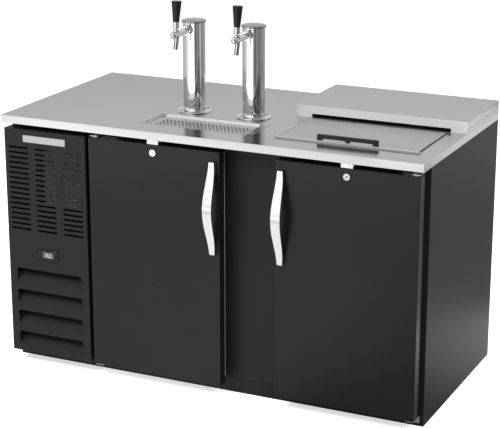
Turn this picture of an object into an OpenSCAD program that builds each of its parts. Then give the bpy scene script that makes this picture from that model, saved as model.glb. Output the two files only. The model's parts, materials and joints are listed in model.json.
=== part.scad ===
// Two-door draft beer cooler with a sliding top lid, a drip tray and two tap towers.
// Millimetres. +Z is up, the doors face -Y, the origin lies on the floor under the middle of the worktop.

/* [Cabinet] */
// Overall width over the side panels
cab_w = 1499; // [1400:1:1700]
// Depth from the door fronts to the back
cab_d = 748; // [730:1:820]
// Height of the worktop above the floor
top_z = 880; // [850:1:940]
// Depth of the worktop's turned-down edge
top_edge = 27; // [25:0.5:34]
// Thickness of the stainless worktop sheet
top_t = 1.5; // [1:0.1:2.5]
// Thickness of the coated outer sheet steel
skin_t = 1.2; // [0.8:0.1:2]
// Thickness of the inner liner sheet
liner_t = 1; // [0.6:0.1:1.5]
// Thickness of the base pan
base_t = 1.5; // [1:0.1:3]
// Thickness of the foam in the back wall
wall_t = 45; // [35:1:60]
// Thickness of the foam in the bulkhead
bulk_t = 42; // [30:1:46]
// Depth of the face frame from front to back
frame_d = 40; // [30:1:55]
// Height of the kick rail
kick_h = 50; // [42:1:60]
// Height of the mains lead gland above the floor
gland_z = 130; // [80:1:300]

/* [Doors] */
// Width of each door
door_w = 479; // [450:1:500]
// Height of the door's lower edge above the floor
door_bottom = 40.5; // [39:0.5:50]
// Gap between the doors and the worktop
door_top_gap = 15; // [13:0.5:20]
// Gap from a door or panel to the cabinet's side
door_edge_gap = 9.6; // [6:0.1:12]
// Gap between the grille panel and the left door
door_gap = 14; // [10:0.5:20]
// Depth of the door's outer pan
pan_d = 36; // [33:0.5:44]
// Width of the pan's inward return at its back
pan_return = 22; // [16:1:30]
// Depth of the inner plug behind the pan
plug_d = 19; // [14:0.5:26]
// Inset of the plug from the door's edges
plug_inset = 10; // [8:0.5:13]
// Depth of the gasket
gasket_t = 11.4; // [9:0.1:15]
// Width of the gasket
gasket_w = 18; // [14:0.5:20]
// Inset of the gasket from the door's edges
gasket_inset = 12; // [12:0.5:15]
// Gap between the gasket and the face frame
gasket_gap = 1; // [0.9:0.1:1.5]
// Inset of the cabinet's mouths from the door edges
mouth_inset = 36; // [33:0.5:46]

/* [Hinges] */
// Inset of the pivot from the hinge edge of the door
pivot_inset = 20; // [18:0.5:24]
// Depth of the pivot behind the door front
pivot_d = 18; // [15:0.5:20]
// Radius of the hinge pins
pin_r = 5; // [3.5:0.1:6]
// Length of pin inside the door
pin_in = 12; // [8:0.5:13]
// Radial clearance of a pin in its bush
pin_clear = 0.05; // [0.02:0.01:0.1]
// Outer radius of the nylon bush
bush_r = 8; // [7:0.5:10]
// Length of the bush inside the door
bush_len = 14; // [14:0.5:20]
// Thickness of the bush's flange
bush_flange_t = 1.5; // [1:0.1:2]
// Thickness of the hinge bracket plate
bracket_t = 3; // [2:0.5:4]
// Width of the upper bracket's foot
upper_foot_w = 76; // [60:1:90]
// Width of the lower bracket's foot
lower_foot_w = 90; // [60:1:110]

/* [Handles and locks] */
// Length of the bowed door handle
handle_len = 309; // [260:1:360]
// Width of the handle at its ends
handle_end_w = 18.5; // [12:0.5:24]
// Width of the handle at its middle
handle_mid_w = 32.5; // [26:0.5:40]
// Rise of the handle off the door at its ends
handle_end_rise = 14; // [10:0.5:20]
// Rise of the handle off the door at its middle
handle_mid_rise = 50; // [40:0.5:60]
// Thickness of the handle's strap
handle_t = 6; // [4:0.5:8]
// Height of each handle foot on the door
handle_foot = 43; // [30:1:55]
// Distance of the handle from the door's free edge
handle_edge = 21.5; // [18:0.5:40]
// Distance of the handle's middle below the door top
handle_drop = 185; // [170:1:260]
// Distance of the lock below the door top
lock_drop = 27; // [24:0.5:30]
// Radius of the lock's face ring
lock_face_r = 11; // [10.5:0.5:14]
// Height of the lock's face ring off the door
lock_face_t = 2; // [1:0.5:4]
// Radial clearance of the plug in its barrel
lock_clear = 0.05; // [0.02:0.01:0.1]
// Length of the barrel behind the door front
lock_len = 22; // [18:0.5:24]
// Length of the lock's cam from its axis
cam_len = 34; // [32:0.5:37]
// Width of each lock strike
strike_w = 40; // [30:1:60]

/* [Grille panel] */
// Width of the grille panel
panel_w = 312.5; // [300:0.5:330]
// Step from the door top down to the panel top
panel_drop = 2; // [0:0.5:6]
// Width of a slot
slot_w = 76; // [50:1:90]
// Height of a slot
slot_h = 6; // [4:0.5:9]
// Spacing of the slot rows
slot_pitch = 17.8; // [14:0.1:18.5]
// Rows of slots
slot_rows = 17; // [8:1:17]
// Columns of slots
slot_cols = 3; // [1:1:3]
// Spacing of the slot columns
slot_col_pitch = 103; // [95:1:108]
// Distance of the first slots below the panel top
slot_drop = 63.5; // [40:0.5:70]
// Width of the louvre openings
louvre_w = 256; // [200:1:280]
// Height of the louvre openings
louvre_h = 49; // [35:1:60]
// Spacing of the louvres
louvre_pitch = 77.5; // [66:0.5:78]
// Number of louvres
louvre_count = 4; // [1:1:4]
// Height of the lowest louvre above the panel's lower edge
louvre_foot = 22.5; // [15:0.5:30]
// Corner radius at the top of a louvre
louvre_r = 9; // [4:0.5:14]
// Depth of the scooped ramp behind a louvre
louvre_d = 30; // [20:1:45]
// Height that the ramp climbs
louvre_rise = 38; // [20:1:45]

/* [Controller] */
// Width of the controller's bezel
bezel_w = 84; // [80:1:100]
// Height of the controller's bezel
bezel_h = 39.5; // [37:0.5:50]
// Height of the bezel off the panel
bezel_t = 2; // [1.5:0.1:4]
// Height of the controller above the panel's lower edge
bezel_up = 364; // [355:1:368]
// Depth of the case behind the panel
case_d = 50; // [30:1:60]
// Width of the display window
window_w = 45; // [35:1:50]
// Height of the display window
window_h = 24; // [18:0.5:30]
// Width of a key
key_w = 7; // [5:0.5:8]
// Height of a key
key_h = 5.5; // [4:0.5:8]
// Height of a key off the bezel
key_out = 0.8; // [0.5:0.1:1.5]
// Travel of a key
key_travel = 1; // [0.5:0.1:1.5]
// Distance of the key columns from the controller's middle
key_side = 32.5; // [30:0.5:34]
// Vertical spacing of the keys
key_pitch = 12; // [10:0.5:16]

/* [Shelf and lid] */
// Width of the raised shelf
shelf_w = 593; // [560:1:640]
// Depth of the raised shelf
shelf_d = 340; // [336:1:380]
// Height of the gap under the raised shelf
shelf_gap = 12; // [9:0.5:20]
// Depth of the shelf's turned-down edge
shelf_edge = 27; // [20:0.5:34]
// Width of the lid's track
track_w = 484; // [440:1:500]
// Distance of the track behind the front edge
track_setback = 105; // [90:1:130]
// Thickness of the track's sheet
rail_t = 1.5; // [1:0.1:2]
// Width of the ledge that carries the lid
ledge_w = 15; // [12:0.5:20]
// Depth of the front bar
bar_d = 11.5; // [8:0.5:16]
// Height of the front bar above the worktop
bar_rise = 2; // [1:0.1:3]
// Gap between the lid's sides and the rails
lid_gap = 5; // [2:0.5:8]
// Overall thickness of the lid
lid_t = 12; // [8:0.5:16]
// Height of the lid above the worktop
lid_rise = 3.5; // [2:0.1:6]
// Thickness of the lid's sheet
lid_skin = 1.2; // [0.8:0.1:2]
// Length of the lid under the raised shelf
lid_overlap = 44; // [20:1:46]
// Width of the lid's handle
grip_w = 205; // [150:1:260]
// Height of the lid's handle
grip_h = 19.5; // [15:0.5:30]
// Depth of the lid's handle
grip_d = 9; // [6:0.5:14]
// Height of the bar of the lid's handle
grip_bar = 12.5; // [8:0.5:14]
// Width of the lid handle's outer legs
grip_leg = 18; // [10:0.5:24]
// Width of the lid handle's middle leg
grip_web = 13; // [8:0.5:20]

/* [Drip tray] */
// Sideways place of the tray and towers
taps_x = -76; // [-120:1:0]
// Width of the tray's rim
rim_w = 413; // [405:1:460]
// Depth of the tray's rim
rim_d = 170; // [164:1:172]
// Distance of the rim behind the front edge
rim_setback = 95.5; // [88:0.5:96]
// Distance of the rim's middle behind the dish's
rim_shift = 7.5; // [0:0.5:10]
// Thickness of the tray's sheet
tray_t = 1.2; // [0.8:0.1:1.6]
// Width of the dish at its mouth
dish_w = 372; // [350:1:390]
// Depth of the dish at its mouth
dish_d = 146; // [130:1:150]
// Corner radius of the dish at its mouth
dish_r = 20; // [16:0.5:26]
// Height of the dish's sloping walls
dish_h = 10; // [8:0.5:15]
// Inward slope of the dish's side walls
slope_x = 8; // [6:0.5:16]
// Inward slope of the dish's front and rear walls
slope_y = 8; // [6:0.5:16]
// Depth of the sump under the grille
sump_h = 7; // [5:0.5:7]
// Radius of the drain spigot
drain_r = 9; // [7:0.5:12]
// Length of the drain below the cabinet's ceiling
drain_out = 8; // [4:0.5:12]
// Thickness of the drip grille
grille_t = 1; // [0.8:0.1:2]
// Clearance of the grille inside the tray
grille_clear = 0.4; // [0.3:0.1:0.8]
// Radius of the grille's holes
hole_r = 5.2; // [3:0.1:5.4]
// Spacing of the grille's holes
hole_pitch = 14; // [13:0.5:20]
// Spacing of the grille's rows of holes
hole_row_pitch = 12; // [11:0.5:16]
// Plain margin beside the grille's holes
hole_margin = 8; // [6:0.5:14]
// Plain margin before and behind the grille's holes
hole_margin_y = 27; // [6:0.5:30]

/* [Towers] */
// Distance of the towers behind the front edge
tower_setback = 325.5; // [315:0.5:345]
// Spacing of the two towers
tower_pitch = 220.6; // [180:0.1:260]
// Outer radius of the column
column_r = 38.1; // [36:0.1:42]
// Height of the column above the worktop
column_h = 306; // [304:1:340]
// Radius of the tower's flange
flange_r = 58.75; // [54:0.25:62]
// Thickness of the tower's flange
flange_t = 5; // [3:0.5:8]
// Radius of the screw heads on the flange
screw_r = 4.5; // [3:0.5:6]
// Width of the cap beyond the column
cap_over = 3.4; // [2:0.1:5]
// Height of the cap's dome above its edge
cap_dome = 5; // [3:0.5:8]
// Radius of the hole for the beer lines under a tower
line_hole_r = 25; // [15:1:30]

/* [Faucets] */
// Height of the faucet's axis above the worktop
faucet_z = 283; // [265:1:285]
// Radius of the faucet's barrel
barrel_r = 10.5; // [9.5:0.1:11.2]
// Radius of the faucet's round nose
nose_r = 11; // [10:0.1:12]
// Reach of the nose's centre from the tower axis
nose_out = 146.5; // [143:0.5:150]
// Reach of the rear end of the faucet from the tower axis
body_back = 51; // [50:0.5:53]
// Bore of the barrel
barrel_bore = 6; // [5.5:0.1:7]
// Radius of the spout
spout_r = 8.2; // [7.5:0.1:8.6]
// Reach of the spout's root from the tower axis
spout_out = 119; // [112:0.5:122]
// Forward lean of the spout, in degrees
spout_lean = 16.4; // [0:0.1:25]
// Length of the spout from the barrel's axis
spout_len = 51.6; // [40:0.1:60]
// Outer radius of the coupling nut
nut_r = 15.5; // [14.5:0.1:17]
// Length of the coupling nut
nut_len = 14; // [12:0.5:15]
// Outer radius of the shank's thread
shank_r = 11.1; // [10:0.1:11.5]
// Bore of the shank
shank_bore = 4; // [3:0.5:5]
// Thickness of the shank's collar at its middle
collar_t = 5; // [4:0.5:5.5]

/* [Tap levers] */
// Reach of the lever's pivot from the tower axis
lever_out = 129; // [127:0.5:131]
// Backward lean of the shut lever, in degrees
lever_lean = 4.5; // [0:0.5:6]
// Thickness of the lever's nut
lever_nut_h = 5.5; // [4:0.5:8]
// Length of the ferrule above the lever's nut
ferrule_h = 15.5; // [10:0.5:20]
// Length of the tap handle
grip_len = 68; // [50:1:110]
// Radius of the tap handle at its foot
grip_low_r = 10.5; // [9:0.1:12]
// Radius of the tap handle at its top
grip_top_r = 16.9; // [13:0.1:20]
// Height of the tap handle's domed top
grip_crown = 1.5; // [0.5:0.5:3]

/* [Machine compartment] */
// Width of the condenser coil
coil_w = 210; // [180:1:230]
// Height of the condenser coil
coil_h = 250; // [220:1:270]
// Depth of the condenser coil
coil_d = 40; // [30:1:60]
// Height of the coil above the floor
coil_z = 540; // [500:1:545]
// Number of fins on each coil
fin_count = 18; // [8:1:26]
// Tip radius of the condenser fan
fan_r = 90; // [70:1:94]
// Blade count of the fans
blade_count = 5; // [3:1:7]
// Radius of the compressor's shell
pot_r = 85; // [70:1:100]
// Height of the compressor's shell
pot_h = 200; // [160:1:240]
// Distance of the compressor behind the coil
pot_setback = 350; // [320:1:400]

/* [Evaporator] */
// Depth of the evaporator cover off the bulkhead
evap_x = 90; // [80:1:110]
// Width of the evaporator cover along the bulkhead
evap_w = 280; // [260:1:320]
// Height of the evaporator cover
evap_h = 400; // [380:1:430]
// Height of the evaporator cover above the floor
evap_z = 330; // [250:1:350]
// Tip radius of the evaporator fan
evap_fan_r = 75; // [60:1:85]
// Distance of its fan's axis below the cover's top
evap_fan_drop = 110; // [100:1:120]
// Height of the evaporator coil
evap_coil_h = 160; // [120:1:170]

/* [Hidden] */
// Margin by which a cut runs past the face it opens
cut = 1;
// Small clearance where pieces are seated or butted together
seat = 0.1;
// Sides of the pairs of doors and taps
left = -1;
right = 1;
// Facets of short arcs, of long shallow arcs and of the handle's bow
$fn = 64;
long_fn = 720;
bow_steps = 24;

// Small sizes of the sheet metal
rail_rise = 1.2;
lid_run = 0.5;
lid_nose_gap = 1.5;
seam_w = 0.8;
header_h = 37;
end_stile_w = 12.5;
stile_lap = 2;
pan_lip = 25;
return_w = 15;
gland_r = 9;
vent_rows = 14;
vent_z = 480;
plug_t = 1.5;
well_margin = 12;
track_end = 9;

// Hinge and lock proportions
hinge_gap = 0.5;
foot_d = 18;
strike_t = 2;
strike_gap = 1.3;
pin_head_r = 1.6 * pin_r;
pin_head_h = 0.4 * pin_r;
bush_flange_r = 1.3 * bush_r;
bracket_nose_r = 2.2 * pin_r;
bracket_x = 3;
lower_leg_h = 8 * bracket_t;
lock_barrel_r = 0.86 * lock_face_r;
lock_plug_r = 0.64 * lock_face_r;
cam_w = 0.35 * cam_len;
cam_t = 2.5;
cam_clear = 0.5;
strike_hold = 3;

// Keys and lid handle
lens_t = 1.2;
key_clear = 0.3;
bezel_lip = 3;
key_r = 0.2 * key_h;
key_t = 3;
grip_r = 3;

// Drip tray
foot_r = 0.4 * dish_r;
sump_ledge = 4;
drain_bore = 0.72 * drain_r;

// Tower
cap_skirt = 8;
column_t = 1.5;
flange_edge = 0.4 * flange_t;
screw_circle = (flange_r + column_r) / 2;
cap_edge = cap_skirt / 2;

// Faucet joints
body_flange_r = 0.8 * nut_r;
body_flange_t = 4;
nut_clear = 0.2;
nut_shoulder = 3;
collar_r = 0.94 * nut_r;
jam_nut_r = 1.44 * shank_r;
jam_nut_t = 0.7 * shank_r;
shank_tail = shank_r;
spout_bore = 0.67 * spout_r;

// Lever's ball joint and valve shaft
lever_up = 9;
ball_r = 5;
ball_clear = 0.3;
bonnet_r = barrel_r;
bonnet_low = 3;
bonnet_top = 6.3;
bonnet_neck = 4.5;
bonnet_mouth = 7.6;
stem_r = 2.5;
lever_foot_r = 2;
lever_foot = 12;
lever_nut_up = 11;
lever_nut_r = 1.1 * barrel_r;
ferrule_r = 0.97 * grip_low_r;
shaft_r = 3.5;
guide_clear = 0.05;
guide_len = 3;
guide_out = 6;
seal_gap = 6;
seal_t = 4;
shaft_slot_w = 4.8;
shaft_slot_len = 9;

// Fans and coils
fan_gap = 5;
evap_slots = 7;
evap_back = 30;
coil_gap = 4;
shroud_d = 30;
coil_side = 24;
fin_t = 1;
tube_r = 5;
tube_count = 5;
shroud_t = 1.5;
hub_r = fan_r / 4;
blade_t = 2;
fan_d = 18;
fan_shaft_r = 4;
fan_clear = 0.05;
motor_r = 0.4 * fan_r;
motor_len = 55;
spider_w = 12;
spider_t = 4;
pot_foot_h = 18;
pot_t = 6;
evap_motor_r = evap_fan_r / 3;
evap_motor_len = 40;
evap_slot_h = 8;

left_x = -cab_w / 2;
right_x = cab_w / 2;
front_y = -cab_d / 2;
back_y = cab_d / 2;
side_in = right_x - skin_t;
rear_in = back_y - 2 * skin_t;
top_under = top_z - top_edge;

// Door planes, counted from the door fronts
face_d = pan_d + plug_d + gasket_t + gasket_gap;
face_y = front_y + face_d;
frame_back = face_y + frame_d;
door_top = top_under - door_top_gap;
panel_x0 = left_x + door_edge_gap;
panel_x1 = panel_x0 + panel_w;
panel_top = door_top - panel_drop;
left_door_x = panel_x1 + door_gap;
right_door_x = right_x - door_edge_gap;

// Mouths and interior
mouth_z0 = door_bottom + mouth_inset;
mouth_z1 = door_top - mouth_inset;
header_z = top_under - header_h;
mouth_w = door_w - 2 * mouth_inset;
int_x0 = left_door_x + mouth_inset;
int_x1 = right_door_x - mouth_inset;
int_y1 = rear_in - wall_t - liner_t;
bulk_x = int_x0 - liner_t - bulk_t;
machine_x = (left_x + bulk_x) / 2;

// Hinge and lock heights
upper_plate_z = door_top + bush_flange_t + hinge_gap;
lower_plate_z = door_bottom - bush_flange_t - hinge_gap - bracket_t;
lock_z = door_top - lock_drop;
lock_x = door_w / 2;
cam_y = lock_len + cam_clear;

// Lid track, lid and well
shelf_x0 = right_x - shelf_w;
shelf_y = back_y - shelf_d;
track_x = (shelf_x0 + right_x) / 2;
track_x0 = track_x - track_w / 2;
track_x1 = track_x + track_w / 2;
track_y0 = front_y + track_setback;
track_y1 = back_y - track_end;
ledge_z = top_z + lid_rise - lid_t - lid_run;
track_floor = ledge_z - rail_t;
lid_x0 = track_x0 + rail_t + lid_gap;
lid_x1 = track_x1 - rail_t - lid_gap;
lid_y0 = track_y0 + bar_d + lid_nose_gap;
lid_y1 = shelf_y + lid_overlap;
well_x0 = track_x0 + ledge_w;
well_x1 = track_x1 - ledge_w;
well_y0 = lid_y0 + well_margin;
well_y1 = shelf_y - well_margin;

// Drip tray
tray_y = front_y + rim_setback + rim_d / 2 - rim_shift;
floor_w = dish_w - 2 * slope_x;
floor_d = dish_d - 2 * slope_y;
sump_w = floor_w - 2 * sump_ledge;
sump_d = floor_d - 2 * sump_ledge;
drip_w = floor_w - 2 * grille_clear;
drip_d = floor_d - 2 * grille_clear;
tray_low = top_z - dish_h - sump_h - tray_t;

// Towers and faucets
tower_y = front_y + tower_setback;
cap_r = column_r + cap_over;
nut_front = body_back + body_flange_t + nut_clear;
pivot_z = faucet_z + lever_up;
slot_out = lever_out + lever_up * tan(lever_lean);
shaft_front = slot_out + shaft_slot_len / 2 + guide_out + guide_len;
shaft_back = body_back + seal_gap;

// Machine compartment
coil_x0 = bulk_x - skin_t - coil_side - coil_w;
coil_y0 = frame_back + coil_gap;
coil_y1 = coil_y0 + coil_d;
fan_x = coil_x0 + coil_w / 2;
fan_z = coil_z + coil_h / 2;
shroud_y1 = coil_y1 + shroud_d;
evap_x1 = int_x0 + evap_x;
evap_y1 = int_y1 - evap_back;
evap_y0 = evap_y1 - evap_w;
evap_fan_y = (evap_y0 + evap_y1) / 2;
evap_fan_z = evap_z + evap_h - evap_fan_drop;

// Colours
stainless = "#b4b4b2";
chrome = "#dcdcdc";
coat_black = "#353535";
frame_black = "#1c1c1c";
plastic_black = "#232323";
seal_grey = "#b4b4b4";
foam = "#d9c88a";
liner_grey = "#b9bcbd";
zinc = "#9a9c9e";
nylon = "#e4e2da";
fin_grey = "#a9adb0";
lens_dark = "#10141c";

// Block between two opposite corners
module block(lo, hi) {
    translate(lo)
        cube(hi - lo);
}

// Sheet with four edges turned down
module pan_down(lo, hi, t) {
    difference() {
        block(lo, hi);
        block([lo.x + t, lo.y + t, lo.z - cut], [hi.x - t, hi.y - t, hi.z - t]);
    }
}

// Outline of a rectangle with round corners, centred
module round_outline(w, d, r) {
    square([w - 2 * r, d], center = true);
    square([w, d - 2 * r], center = true);
    for (sx = [-1, 1], sy = [-1, 1])
        translate([sx * (w / 2 - r), sy * (d / 2 - r)])
            circle(r);
}

// Frustum with round corners, from a mouth at z = 0 down to a floor
module dish_form(mouth_w, mouth_d, mouth_r, low_w, low_d, low_r, depth) {
    hull()
        for (sx = [-1, 1], sy = [-1, 1]) {
            translate([sx * (mouth_w / 2 - mouth_r), sy * (mouth_d / 2 - mouth_r), -seat])
                cylinder(r = mouth_r, h = seat, $fn = 32);
            translate([sx * (low_w / 2 - low_r), sy * (low_d / 2 - low_r), -depth])
                cylinder(r = low_r, h = seat, $fn = 32);
        }
}

// Places door pieces: x runs from the hinge edge, y from the door front, z from the floor
module at_door(side) {
    if (side < 0)
        translate([left_door_x, front_y, 0])
            children();
    else
        translate([right_door_x, front_y, 0])
            mirror([1, 0, 0])
                children();
}

module at_doors() {
    for (side = [-1, 1])
        at_door(side)
            children();
}

// Places tower pieces: origin on the worktop at the tower's axis
module at_tower(side) {
    translate([taps_x + side * tower_pitch / 2, tower_y, top_z])
        children();
}

module at_towers() {
    for (side = [-1, 1])
        at_tower(side)
            children();
}

// Turns z into the direction out along the faucet
module along_faucet() {
    translate([0, 0, faucet_z])
        rotate([90, 0, 0])
            children();
}

// Places lever pieces at the pivot of the shut lever
module at_lever() {
    translate([0, -lever_out, pivot_z])
        rotate([-lever_lean, 0, 0])
            children();
}

// Cabinet

module base_pan() {
    color(coat_black)
        union() {
            block([-side_in, frame_back, 0], [side_in, rear_in, base_t]);
            difference() {
                block([-side_in, frame_back, 0], [bulk_x - skin_t, rear_in, pan_lip]);
                block(
                    [-side_in + base_t, frame_back + base_t, base_t],
                    [bulk_x - skin_t - base_t, rear_in - base_t, pan_lip + cut]);
            }
        }
}

module side_panel() {
    union() {
        block([side_in, face_y, 0], [right_x, back_y, top_under]);
        block([right_x - return_w, back_y - skin_t, 0], [right_x, back_y, top_under]);
    }
}

module side_panels() {
    color(coat_black) {
        side_panel();
        mirror([1, 0, 0])
            side_panel();
        block([bulk_x - skin_t, frame_back, base_t], [bulk_x, rear_in, top_under]);
    }
}

module gland_barrel(r, length) {
    translate([machine_x, rear_in - skin_t, gland_z])
        rotate([-90, 0, 0])
            cylinder(r = r, h = length);
}

module back_panel() {
    gland_flange_t = 2;
    gland_nose = 8;
    color(coat_black) {
        difference() {
            block([-side_in, rear_in, 0], [side_in, rear_in + skin_t, top_under]);
            translate([0, -cut, 0])
                gland_barrel(gland_r + seat, 4 * skin_t + cut);
            for (column = [-1, 1], row = [0 : vent_rows - 1])
                translate([machine_x + column * slot_col_pitch / 2, rear_in, vent_z + row * slot_pitch])
                    cube([slot_w, 4 * skin_t, slot_h], center = true);
        }
        difference() {
            union() {
                gland_barrel(gland_r, 2 * skin_t + gland_flange_t + gland_nose);
                translate([0, 2 * skin_t, 0])
                    gland_barrel(1.4 * gland_r, gland_flange_t);
            }
            translate([0, -cut, 0])
                gland_barrel(gland_r / 2, 2 * skin_t + gland_flange_t + gland_nose + 2 * cut);
        }
    }
}

module insulation_panels() {
    floor_top = mouth_z0 - liner_t;
    roof = mouth_z1 + liner_t;
    color(foam) {
        block([bulk_x, frame_back, base_t], [side_in, rear_in, floor_top - seat]);
        block([bulk_x, frame_back, floor_top], [int_x0 - liner_t, rear_in, roof]);
        block([int_x1 + liner_t, frame_back, floor_top], [side_in, rear_in, roof]);
        block(
            [int_x0 - liner_t + seat, int_y1 + liner_t, floor_top],
            [int_x1 + liner_t - seat, rear_in, roof]);
    }
}

// Beer-line holes under the towers and the tray's drain hole
module top_passages(z0, z1) {
    at_towers()
        translate([0, 0, z0 - top_z])
            cylinder(r = line_hole_r, h = z1 - z0);
    translate([taps_x, tray_y, z0])
        cylinder(r = drain_r + seat, h = z1 - z0);
}

// Shaft of the well, with a margin all round
module well_shaft(margin, z0, z1) {
    block([well_x0 - margin, well_y0 - margin, z0], [well_x1 + margin, well_y1 + margin, z1]);
}

module insulation_top() {
    roof = mouth_z1 + liner_t;
    x0 = well_x0 - liner_t;
    x1 = well_x1 + liner_t;
    color(foam) {
        difference() {
            block([bulk_x, frame_back, roof], [x0, rear_in, top_under]);
            top_passages(roof - cut, top_under + cut);
        }
        block([x1, frame_back, roof], [side_in, rear_in, top_under]);
        for (y = [[frame_back, well_y0 - liner_t], [well_y1 + liner_t, rear_in]])
            block([x0 + seat, y[0], roof], [x1 - seat, y[1], top_under]);
    }
}

module inner_liner() {
    color(liner_grey)
        difference() {
            union() {
                block(
                    [int_x0 - liner_t, frame_back, mouth_z0 - liner_t],
                    [int_x1 + liner_t, int_y1 + liner_t, mouth_z1 + liner_t]);
                well_shaft(liner_t, mouth_z1, track_floor);
            }
            block([int_x0, frame_back - cut, mouth_z0], [int_x1, int_y1, mouth_z1]);
            well_shaft(0, mouth_z1 - cut, track_floor + cut);
            top_passages(mouth_z1 - cut, mouth_z1 + liner_t + cut);
        }
}

module front_frame() {
    stile_z = [kick_h + seam_w, header_z - seam_w];
    stiles = [
        [-side_in, -side_in + end_stile_w],
        [panel_x1 - stile_lap, int_x0],
        [int_x0 + mouth_w, int_x1 - mouth_w],
        [int_x1, side_in]
    ];
    color(frame_black) {
        block([-side_in, face_y, header_z], [side_in, frame_back, top_under]);
        block([-side_in, face_y, 0], [side_in, frame_back, kick_h]);
        for (x = stiles)
            block([x[0], face_y, stile_z[0]], [x[1], frame_back, stile_z[1]]);
        for (bay = [0 : len(stiles) - 2], z = [[stile_z[0], mouth_z0], [mouth_z1, stile_z[1]]])
            block(
                [stiles[bay][1] + seat, face_y, z[0]],
                [stiles[bay + 1][0] - seat, frame_back, z[1]]);
    }
}

// Worktop, shelf and lid

module worktop() {
    color(stainless)
        difference() {
            union() {
                pan_down([left_x, front_y, top_under], [right_x, back_y, top_z], top_t);
                block([left_x, front_y, top_under], [right_x, face_y, top_under + top_t]);
            }
            translate([taps_x, tray_y, top_under])
                linear_extrude(top_edge + cut)
                    round_outline(dish_w + 2 * tray_t, dish_d + 2 * tray_t, dish_r + tray_t);
            top_passages(top_under, top_z + cut);
            block([track_x0, track_y0, top_under], [track_x1, track_y1, top_z + cut]);
        }
}

module worktop_core() {
    core_top = top_z - top_t;
    hole = [dish_w, dish_d] / 2 + [tray_t, tray_t];
    x = [left_x + top_t, taps_x - hole.x, taps_x + hole.x, right_x - top_t];
    y = [front_y + top_t, tray_y - hole.y, tray_y + hole.y, back_y - top_t];
    color(foam)
        difference() {
            for (i = [0, 2]) {
                block([x[i], y[0], top_under], [x[i + 1], y[3], core_top]);
                block([x[1] + seat, y[i], top_under], [x[2] - seat, y[i + 1], core_top]);
            }
            block([left_x, front_y, top_under - cut], [right_x, face_y, top_under + top_t]);
            top_passages(top_under - cut, core_top + cut);
            block([track_x0, track_y0, track_floor], [track_x1, track_y1, core_top + cut]);
            well_shaft(liner_t, top_under - cut, core_top + cut);
        }
}

module raised_shelf() {
    deck = top_z + shelf_gap;
    riser = deck - seat;
    color(stainless) {
        pan_down([shelf_x0, shelf_y, deck], [right_x, back_y, deck + shelf_edge], top_t);
        pan_down([shelf_x0, shelf_y, top_z], [track_x0, back_y, riser], top_t);
        pan_down([track_x1, shelf_y, top_z], [right_x, back_y, riser], top_t);
        block([track_x0 + seat, track_y1, top_z], [track_x1 - seat, back_y, riser]);
    }
}

module track_rail() {
    rail_y = track_y0 + bar_d + seat;
    union() {
        block([track_x0, rail_y, track_floor], [track_x0 + rail_t, track_y1, top_z + rail_rise]);
        block([track_x0, rail_y, track_floor], [well_x0, track_y1, ledge_z]);
    }
}

module lid_track() {
    color(stainless) {
        track_rail();
        translate([2 * track_x, 0, 0])
            mirror([1, 0, 0])
                track_rail();
        union() {
            block([track_x0, track_y0, track_floor], [track_x1, track_y0 + bar_d, top_z + bar_rise]);
            block([well_x0 + seat, track_y0, track_floor], [well_x1 - seat, well_y0, ledge_z]);
        }
        block([well_x0 + seat, well_y1, track_floor], [well_x1 - seat, track_y1, ledge_z]);
    }
}

module lid() {
    color(stainless)
        pan_down(
            [lid_x0, lid_y0, top_z + lid_rise - lid_t],
            [lid_x1, lid_y1, top_z + lid_rise],
            lid_skin);
}

module lid_handle() {
    gap_w = (grip_w - 2 * grip_leg - grip_web) / 2;
    color(plastic_black)
        translate([track_x, lid_y0 + grip_d, top_z + lid_rise])
            rotate([90, 0, 0])
                linear_extrude(grip_d)
                    difference() {
                        union() {
                            translate([0, grip_h / 2])
                                round_outline(grip_w, grip_h, grip_r);
                            translate([-grip_w / 2, 0])
                                square([grip_w, grip_h - grip_r]);
                        }
                        for (side = [-1, 1])
                            translate([side * (grip_web + gap_w) / 2, (grip_h - grip_bar) / 2 - cut / 2])
                                square([gap_w, grip_h - grip_bar + cut], center = true);
                    }
}

// Drip tray

module drip_tray() {
    drain_low = mouth_z1 - drain_out;
    color(stainless)
        translate([taps_x, tray_y, top_z])
            difference() {
                union() {
                    translate([0, rim_shift, 0])
                        linear_extrude(tray_t)
                            round_outline(rim_w, rim_d, dish_r);
                    dish_form(
                        dish_w + 2 * tray_t, dish_d + 2 * tray_t, dish_r + tray_t,
                        floor_w + 2 * tray_t, floor_d + 2 * tray_t, foot_r + tray_t, dish_h + tray_t);
                    translate([0, 0, tray_low - top_z])
                        linear_extrude(sump_h + tray_t)
                            round_outline(sump_w + 2 * tray_t, sump_d + 2 * tray_t, foot_r + tray_t);
                    translate([0, 0, drain_low - top_z])
                        cylinder(r = drain_r, h = tray_low - drain_low);
                }
                dish_form(dish_w, dish_d, dish_r, floor_w, floor_d, foot_r, dish_h);
                translate([0, 0, -seat])
                    linear_extrude(tray_t + seat + cut)
                        round_outline(dish_w, dish_d, dish_r);
                translate([0, 0, -dish_h - sump_h])
                    linear_extrude(sump_h + seat)
                        round_outline(sump_w, sump_d, foot_r);
                translate([0, 0, drain_low - top_z - cut])
                    cylinder(r = drain_bore, h = tray_low - drain_low + tray_t + 2 * cut);
            }
}

module drip_grille() {
    span_x = drip_w - 2 * (hole_margin + hole_r);
    span_y = drip_d - 2 * (hole_margin_y + hole_r);
    rows = floor(span_y / hole_row_pitch);
    cols = floor(span_x / hole_pitch - 0.5);
    color(stainless)
        translate([taps_x, tray_y, top_z - dish_h + grille_clear])
            linear_extrude(grille_t)
                difference() {
                    round_outline(drip_w, drip_d, foot_r - grille_clear);
                    for (row = [0 : rows], col = [0 : cols])
                        translate([
                            (col - cols / 2 + (row % 2) / 2 - 1 / 4) * hole_pitch,
                            (row - rows / 2) * hole_row_pitch
                        ])
                            circle(hole_r, $fn = 24);
                }
}

// Towers and faucets

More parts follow.
